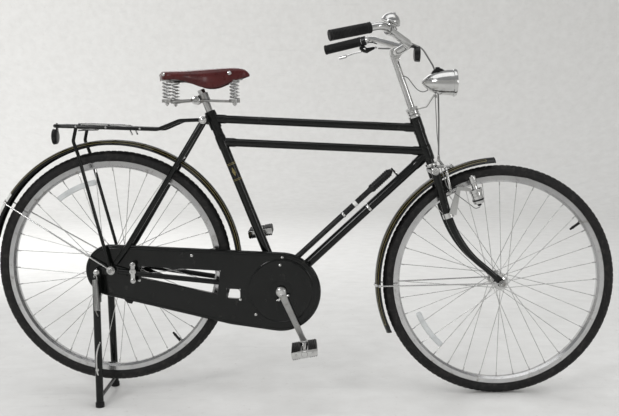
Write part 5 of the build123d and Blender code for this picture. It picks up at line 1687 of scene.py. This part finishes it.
@dataclass
class Grips:
    """The ribbed rubber grips on the bar's swept ends."""

    start: float = -4.0
    finish: float = 118.0
    ribs: int = 26

    def way(self, side: int) -> tuple[Vector, Vector]:
        """Return one bar end and the unit vector from it back along the bar."""
        end = BAR_CENTRE + Vector((-202.0, side * 222.0, 30.0))
        bend = BAR_CENTRE + Vector((-58.0, side * 186.0, 60.0))
        return end, (bend - end).normalized()

    def build(self) -> None:
        """Turn both grips."""
        for side, name in ((-1, "right_grip"), (1, "left_grip")):
            end, way = self.way(side)
            profile = [(self.start, 0), (self.start, 11.0), (self.start + 0.6, 14.2),
                       (self.start + 2.0, 15.5), (self.start + 7.0, 15.5), (self.start + 8.0, 14.9)]
            pitch = (self.finish - self.start - 22.0) / self.ribs
            for n in range(self.ribs):
                low = self.start + 9.0 + n * pitch
                profile += [(low, 14.5), (low + pitch * 0.3, 14.5), (low + pitch * 0.45, 15.2),
                            (low + pitch * 0.85, 15.2)]
            profile += [(self.finish - 11.0, 14.6), (self.finish - 9.0, 15.4),
                        (self.finish - 1.6, 15.5), (self.finish, 14.2), (self.finish, 11.4)]
            grip = turned(f"{name}_rubber", profile, end, way, 40)
            hand_over(grip, RUBBER, "steering", stands_for=[name])


@dataclass
class BrakeLever:
    """The left brake lever: its collar, its pressed housing and its blade."""

    collar_at: float = 120.0

    def build(self) -> None:
        """Make the collar and housing in black and the blade in chrome."""
        end, way = Grips().way(1)
        ring = end + way * self.collar_at
        collar = [(0, 11.3), (0, 14.4), (0.8, 15.1), (13.2, 15.1), (14, 14.4), (14, 11.3),
                  (0, 11.3)]
        outline = [(-5, -9), (8, -12), (15, -21), (38, -17), (43, -20), (42, -25), (17, -38),
                   (4, -35), (-8, -24)]
        body = [ring + Vector((x, -7.0, z)) for x, z in outline]
        pieces = [turned("collar", collar, ring, way, 36), plate("housing", body, LEFT * 14.0, 2.4)]
        hand_over(joined("brake_lever_housing", pieces), ENAMEL, "steering",
                  stands_for=["brake_lever"])
        path = [ring + Vector(at)
                for at in ((24, 0, -27), (4, 3, -32), (-20, 10, -36), (-46, 17, -45),
                           (-60, 21, -48))]
        blade = [wire("blade", path, 2.6),
                 rod("grip_end", path[-2], ring + Vector((-74, 25, -52)), 5.4, 3.0)]
        for side in (-1, 1):
            blade.append(fastener("pivot", ring + Vector((10, side * 7.0, -24)), LEFT * side, 2.8))
        blade.append(sleeve("barrel", ring + Vector((40, 0, -20.5)), ring + Vector((50, 0, -19)),
                            2.4, 1.6))
        hand_over(joined("brake_lever_blade", blade), CHROME, "steering")


@dataclass
class Bell:
    """The domed bell on the right of the bar, with its base, cap and thumb lever."""

    steps: int = 56

    def build(self) -> None:
        """Turn the dome and stand it on its band and post."""
        foot = BAR_CENTRE + Vector((-35.56, -156.08, 49.87))
        bar = Vector((-0.579, -0.772, 0.262))
        base = foot + UP * 12.6 + direction(67) * 6.0
        way = direction(67)
        band = [(-6, 11.2), (-6, 14.2), (-5.2, 14.8), (5.2, 14.8), (6, 14.2), (6, 11.2), (-6, 11.2)]
        pieces = [turned("band", band, foot, bar, 32), rod("post", foot + UP * 11.0, base, 5.6)]
        under = [(0, 0), (0, 8), (0.6, 25.0), (1.4, 26.2), (3.4, 26.4), (3.4, 24.0), (3.0, 0)]
        pieces.append(turned("base", under, base, way, self.steps))
        thumb = base + way * 1.6
        pieces.append(wire("thumb",
                           [thumb, thumb - bar * 22, thumb - bar * 31 - UP * 2,
                            thumb - bar * 37 - UP * 5], 2.6))
        dome = [(3.7, 24.2), (3.5, 27.4), (4.2, 28.1), (5.4, 27.8), (6.2, 27.1), (11, 26.4),
                (17, 23.6), (23, 18.0), (27.5, 11.0), (29.2, 5.8), (29.2, 5.0), (30.4, 4.8),
                (32.0, 4.0), (32.8, 2.0), (33.0, 0), (27.6, 0), (27.0, 4.0), (25.4, 11.0),
                (21.4, 17.0), (16, 22.2), (10.4, 24.8), (3.7, 24.2)]
        pieces.append(turned("dome", dome, base, way, self.steps))
        hand_over(joined("bell_chrome", pieces), CHROME, "steering", stands_for=["bell"])


@dataclass
class FrontReflector:
    """The clear reflector held ahead of the bar by an arched arm."""

    back: float = 55.0
    drop: float = -4.0

    def build(self) -> None:
        """Turn the cup and lens and bend the arm that carries them."""
        middle = BAR_CENTRE + Vector((self.back, 0, self.drop))
        cup = [(0, 0), (0, 17.0), (1.0, 20.0), (3.0, 22.0), (12.6, 23.2), (15.4, 23.8),
               (17.0, 23.2), (17.0, 21.4), (15.2, 21.2), (15.0, 0)]
        arm = [BAR_CENTRE + Vector(at)
               for at in ((10, -17, 0), (20, -20, 1), (32, -19, 16), (50, -14, 19), (62, -8, 13))]
        pieces = [turned("cup", cup, middle, AHEAD, 48), wire("arm", arm, 4.4)]
        hand_over(joined("front_reflector_cup", pieces), PLASTIC, "steering",
                  stands_for=["front_reflector"])
        lens = [(14.8, 0), (14.8, 21.3), (16.2, 21.3), (16.8, 18), (17.0, 10), (17.0, 0)]
        hand_over(turned("front_reflector_lens", lens, middle, AHEAD, 48), CLEAR_LENS, "steering")


# ------------------------------------------------------------------------------ lamp and dynamo
@dataclass
class Headlamp:
    """The bullet headlamp on its bracket, with its bowl, bulb, glass, knob and wire."""

    tip: Vector
    radius: float = 38.0
    length: float = 94.0
    steps: int = 64

    def build(self) -> None:
        """Turn the shell, rim, bowl and glass, then fit the small parts."""
        shell = [(0, 0), (0.8, 3.2), (3, 6.6), (8, 12.4), (15, 18.6), (24, 24.6), (36, 30.4),
                 (50, 34.3), (66, 36.8), (80, 37.7), (self.length, self.radius),
                 (self.length, 36.6), (80, 36.2), (60, 34.4), (58, 0)]
        rim = [(93.2, 36.8), (93.2, 39.6), (94.2, 40.4), (102, 40.4), (104.2, 39.2), (104.4, 37.4),
               (103.4, 36.8), (93.2, 36.8)]
        bowl = [(60, 0), (60, 6), (64, 14), (72, 23), (84, 31), (98, 36.6), (99.4, 36.6), (84, 30),
                (73, 22.2), (65.4, 13), (61.4, 5), (61.4, 0)]
        pieces = [turned(name, part, self.tip, AHEAD, self.steps)
                  for name, part in (("shell", shell), ("rim", rim), ("bowl", bowl))]
        pieces.append(fastener("bracket_nut", self.tip + Vector((44, 0, -36.0)), -UP, 6.0,
                               Head.HEX))
        pieces.append(fastener("rim_screw", self.tip + Vector((98, 0, -40.0)), -UP, 2.6))
        hand_over(joined("headlamp_shell", pieces), CHROME, "steering", stands_for=["headlamp"])
        glass = [(100.6, 0), (100.6, 36.7), (102.0, 36.7), (103.2, 30), (103.8, 16), (104, 0)]
        hand_over(turned("headlamp_glass", glass, self.tip, AHEAD, self.steps), LAMP_GLASS,
                  "steering")
        bulb = [(62, 0), (62, 4.6), (68, 4.6), (70, 5.6), (76, 6.2), (80, 5.0), (82.4, 2.4),
                (83, 0)]
        hand_over(turned("headlamp_bulb", bulb, self.tip, AHEAD, 24), LAMP_GLASS, "steering")
        self.knob()
        self.wire_back()

    def knob(self) -> None:
        """Add the black ridge and switch on the lamp's top."""
        ridge = [self.tip + Vector((x, -4.5, z))
                 for x, z in ((24, 22), (34, 36.4), (40, 41.4), (55, 43.4), (61, 41.4), (70, 36.4),
                              (72, 33))]
        top = turned("switch", [(0, 0), (0, 6.6), (4.0, 7.2), (6.6, 6.4), (7.0, 4.6), (7.0, 0)],
                     self.tip + Vector((48, 0, 39.4)), UP, 24)
        hand_over(joined("headlamp_switch", [plate("ridge", ridge, LEFT * 9.0, 1.4), top]), PLASTIC,
                  "steering")

    def wire_back(self) -> None:
        """Bend the thin wire from the lamp's lower back up to the stem."""
        path = [self.tip + Vector(at)
                for at in ((20, 0, -21), (8, -1, -29), (-12, -3, -22), (-30, -5, 0), (-44, -7, 19),
                           (-60, -8, 22))]
        hand_over(wire("headlamp_wire", path, 1.5), CABLE_GREY, "steering")


@dataclass
class Dynamo:
    """The bottle dynamo beside the front tyre, with its roller and cap."""

    angle: float = 106.4
    out: float = -50.0

    def at(self, radial: float, out: float = 0.0) -> Vector:
        """Return a point of the bottle's axis by its distance out from the tyre's tread."""
        return FRONT_HUB + direction(self.angle) * (TYRE_RADIUS + radial) + LEFT * (self.out + out)

    def build(self) -> None:
        """Turn the bottle's bands, the roller and the black parts, and dress its bracket and wire.
        """
        way = direction(self.angle)
        foot = self.at(0)
        body = [(-102, 0), (-102, 12), (-100.6, 15.4), (-99, 16.4), (-96, 17.0), (-78, 17.0),
                (-77.4, 16.4), (-76.2, 16.4), (-75.6, 17.0), (-64, 17.0), (-60, 15.4),
                (-56.4, 12.0), (-55.4, 9.0), (-46, 8.2), (-40, 8.0), (-38, 8.0), (-38, 0)]
        roller = [(-38, 0), (-38, 9.8), (-37.2, 10.8), (-35, 11.1), (-19, 11.1), (-17, 10.6),
                  (-16, 9.4), (-15.6, 5), (-13.8, 4.4), (-13.4, 0)]
        ridges = [turned("ridge", flat_ring(n, n + 1.5, 10.4, 11.4), foot, way, 28)
                  for n in (-34.0, -30.6, -27.2, -23.8, -20.4)]
        chrome = [turned("body", body, foot, way, 44), turned("roller", roller, foot, way, 32),
                  *ridges]
        hand_over(joined("dynamo_bottle", chrome), CHROME, "steering", stands_for=["dynamo"])
        bands = [turned("band", flat_ring(low, high, 16.2, 17.5), foot, way, 44)
                 for low, high in ((-92.0, -87.0), (-66.4, -62.8))]
        nub = [(-108.5, 0), (-108.5, 4.6), (-107.6, 6.0), (-102.4, 6.6), (-101.6, 10), (-101, 0)]
        hand_over(joined("dynamo_bands", [*bands, turned("nub", nub, foot, way, 28)]), PLASTIC,
                  "steering")
        dress(frame["nodes"]["dynamo_bracket"], CHROME)
        dress(frame["nodes"]["dynamo_wire"], CABLE_GREY)


@dataclass
class FrontBrake:
    """The caliper's rubber blocks and bolts, and the brake cable's fittings."""

    rim_angle: float = 119.44
    rim_radius: float = 316.3
    out: float = 21.5

    def build(self) -> None:
        """Fit the blocks either side of the rim and the bolts, and dress the arms and cable."""
        dress(frame["nodes"]["front_brake"], CHROME)
        dress(frame["nodes"]["brake_cable"], CABLE_GREY)
        blocks, bolts = [], []
        middle = FRONT_HUB + direction(self.rim_angle) * self.rim_radius
        lean = self.rim_angle - 90.0
        for side in (-1, 1):
            at = middle + LEFT * side * self.out
            blocks.append(block("shoe", at, Vector((51.0, 9.4, 12.6)), 1.4, -lean))
            bolts.append(fastener("shoe_nut", at + LEFT * side * 4.4, LEFT * side, 5.2, Head.HEX))
        hand_over(joined("front_brake_shoes", blocks), RUBBER, "steering")
        bolts.append(fastener("pivot_nut", CROWN + Vector((51, 0, 11)), AHEAD, 7.0, Head.HEX))
        barrel = CROWN + Vector((23, 37, 29.5))
        bolts.append(sleeve("barrel", barrel - UP * 4.0, barrel + UP * 14.0, 2.4, 2.2))
        bolts.append(fastener("barrel_nut", barrel - UP * 4.0, UP, 5.4, Head.HEX))
        hand_over(joined("front_brake_bolts", bolts), CHROME, "steering")


@dataclass
class FrontAxle:
    """The front axle's nuts."""

    inner: float = 55.8

    def build(self) -> None:
        """Put a flanged nut and a domed cap on both ends of the axle."""
        pieces = []
        for side in (-1, 1):
            face = FRONT_HUB + LEFT * side * self.inner
            pieces.append(turned("washer", flat_ring(-0.4, 1.4, 5.0, 10.6), face, LEFT * side, 32))
            nut = [(1.2, 5.0), (1.2, 8.6), (1.8, 9.4), (8.4, 9.4), (9.0, 8.4), (9.0, 5.0),
                   (1.2, 5.0)]
            pieces.append(turned("nut", nut, face, LEFT * side, 6))
            pieces.append(turned("cap",
                                 [(8.8, 0), (8.8, 6.6), (10.4, 6.6), (12.6, 5.4), (14.0, 2.8),
                                  (14.2, 0)], face, LEFT * side,
                                 24))
        hand_over(joined("front_axle_nuts", pieces), CHROME, "steering", crease=25.0)
        dress(frame["nodes"]["front_axle"], DULL_STEEL)


# ------------------------------------------------------------------------------ studio
@dataclass
class Studio:
    """The camera, the soft lights and the pale sweep that the bicycle stands on."""

    camera_at: tuple[float, float, float] = (0.0191, -2.3752, 0.8524)
    yaw: float = 0.0035
    pitch: float = -0.1113
    roll: float = -0.0095
    lens: float = 45.48
    sensor: float = 36.0
    shift: Pair = (-0.00145, -0.00065)
    flat: float = 5000.0
    cove: float = 2000.0
    room: float = 0.95
    mirrored: float = 0.40

    def build(self) -> None:
        """Set the view, the lights, the world and the floor."""
        self.camera()
        self.light("overhead", (0.2, -0.5, 3.1), (0.0, 0.05, 0.4), (3.4, 1.7), 20.0)
        self.light("key", (-1.8, -2.9, 2.3), (-0.1, 0.0, 0.5), (0.9, 0.7), 30.0)
        self.light("fill", (2.7, -2.3, 1.4), (0.2, 0.0, 0.5), (0.5, 0.9), 9.0)
        self.light("rim", (-0.6, 2.7, 2.6), (0.0, 0.0, 0.5), (2.4, 1.0), 16.0)
        self.light("wash", (-2.6, 1.6, 2.4), (-2.2, 6.6, 1.6), (2.0, 1.0), 110.0)
        self.world()
        self.floor()

    def camera(self) -> None:
        """Place the camera square to the bicycle's right side."""
        rest_hands()
        bpy.ops.object.camera_add()
        camera = bpy.context.object
        camera.name = "main_camera"
        ahead = Vector((math.sin(self.yaw) * math.cos(self.pitch),
                        math.cos(self.yaw) * math.cos(self.pitch), math.sin(self.pitch)))
        right = Vector((math.cos(self.yaw), -math.sin(self.yaw), 0))
        up = right.cross(ahead)
        c, s = math.cos(self.roll), math.sin(self.roll)
        axes = (right * c + up * s, up * c - right * s, -ahead)
        turn = Matrix([[axis[row] for axis in axes] for row in range(3)]).to_4x4()
        camera.matrix_world = Matrix.Translation(self.camera_at) @ turn
        camera.data.lens, camera.data.sensor_width = self.lens, self.sensor
        camera.data.shift_x, camera.data.shift_y = self.shift
        camera.data.clip_start, camera.data.clip_end = 0.05, 60.0
        camera.data.dof.use_dof = False
        bpy.context.scene.camera = camera

    def light(self, name: str, at: tuple[float, float, float], to: tuple[float, float, float],
              size: Pair, power: float) -> None:
        """Hang one soft box.

        Args:
            name: Its name.
            at: Where it hangs, in metres.
            to: The point that it faces.
            size: Its width and height.
            power: Its power in watts.
        """
        rest_hands()
        bpy.ops.object.light_add(type="AREA", location=at)
        lamp = bpy.context.object
        lamp.name = f"studio_{name}_light"
        lamp.rotation_euler = (Vector(to) - Vector(at)).to_track_quat("-Z", "Y").to_euler()
        lamp.data.shape = "RECTANGLE"
        lamp.data.size, lamp.data.size_y = size
        lamp.data.energy = power

    def world(self) -> None:
        """Light the room, a little brighter above than below, and dimmer as metal mirrors it."""
        world = bpy.data.worlds.new("studio_air")
        world.use_nodes = True
        nodes, links = world.node_tree.nodes, world.node_tree.links
        back = nodes.get("Background")
        place = nodes.new("ShaderNodeTexCoord")
        split = nodes.new("ShaderNodeSeparateXYZ")
        ramp = nodes.new("ShaderNodeMapRange")
        blend = nodes.new("ShaderNodeMix")
        blend.data_type = "RGBA"
        ramp.inputs["From Min"].default_value, ramp.inputs["From Max"].default_value = -0.2, 0.8
        blend.inputs[6].default_value = (0.62, 0.62, 0.62, 1)
        blend.inputs[7].default_value = (0.90, 0.91, 0.92, 1)
        links.new(place.outputs["Generated"], split.inputs[0])
        links.new(split.outputs["Z"], ramp.inputs["Value"])
        links.new(ramp.outputs[0], blend.inputs[0])
        links.new(blend.outputs[2], back.inputs["Color"])
        rays = nodes.new("ShaderNodeLightPath")
        power = nodes.new("ShaderNodeMapRange")
        power.inputs["To Min"].default_value = self.room
        power.inputs["To Max"].default_value = self.mirrored
        links.new(rays.outputs["Is Glossy Ray"], power.inputs["Value"])
        links.new(power.outputs[0], back.inputs["Strength"])
        bpy.context.scene.world = world
        bpy.context.scene.view_settings.view_transform = "Standard"

    def floor(self) -> None:
        """Turn the round floor and its cove."""
        sweep = [(0.0, 0.0), (0.0, self.flat)]
        for n in range(1, 13):
            turn = math.radians(n * 7.5)
            sweep.append((self.cove * (1 - math.cos(turn)), self.flat + self.cove * math.sin(turn)))
        sweep.append((3600.0, self.flat + self.cove))
        floor = turned("studio_sweep", sweep, Vector((0, 0, -0.4)), UP, 96)
        if floor.data.polygons[0].normal.z < 0:
            bpy.ops.object.mode_set(mode="EDIT")
            bpy.ops.mesh.select_all(action="SELECT")
            bpy.ops.mesh.flip_normals()
            bpy.ops.object.mode_set(mode="OBJECT")
        bpy.ops.object.shade_smooth()
        dress(floor, STUDIO_FLOOR)


def main() -> None:
    """Build every sub-assembly, then the studio."""
    logging.basicConfig(level=logging.INFO, format="%(message)s")
    Wheel("front", FRONT_HUB, hub_ends=(-38, 38), valve_at=35.4, reflector_at=215.0).build()
    Wheel("rear", REAR_HUB, hub_ends=(-44, 44), valve_at=-51.2, reflector_at=114.4).build()
    Mudguard("front", FRONT_HUB, "steering", radius=380, start=93, end=205, stays_at=181.5,
             lined=(97, 201)).build()
    RearMudguard("rear", REAR_HUB, "frame", radius=389, start=-4, end=166, stays_at=148,
                 lined=(0, 164)).build()
    FrameTrim().build()
    Pump().build()
    ChainCase().build()
    Saddle().build()
    Rack().build()
    RearStand().build()
    HeadFittings().build()
    Grips().build()
    BrakeLever().build()
    Bell().build()
    FrontReflector().build()
    Headlamp(tip=HEAD_TOP + Vector((20, 0, 103))).build()
    Dynamo().build()
    FrontBrake().build()
    FrontAxle().build()
    cranks = Crankset()
    cranks.build()
    for side in (-1, 1):
        Pedal(side, cranks.tip(side)).build()
    Studio().build()


if __name__ == "__main__":
    main()
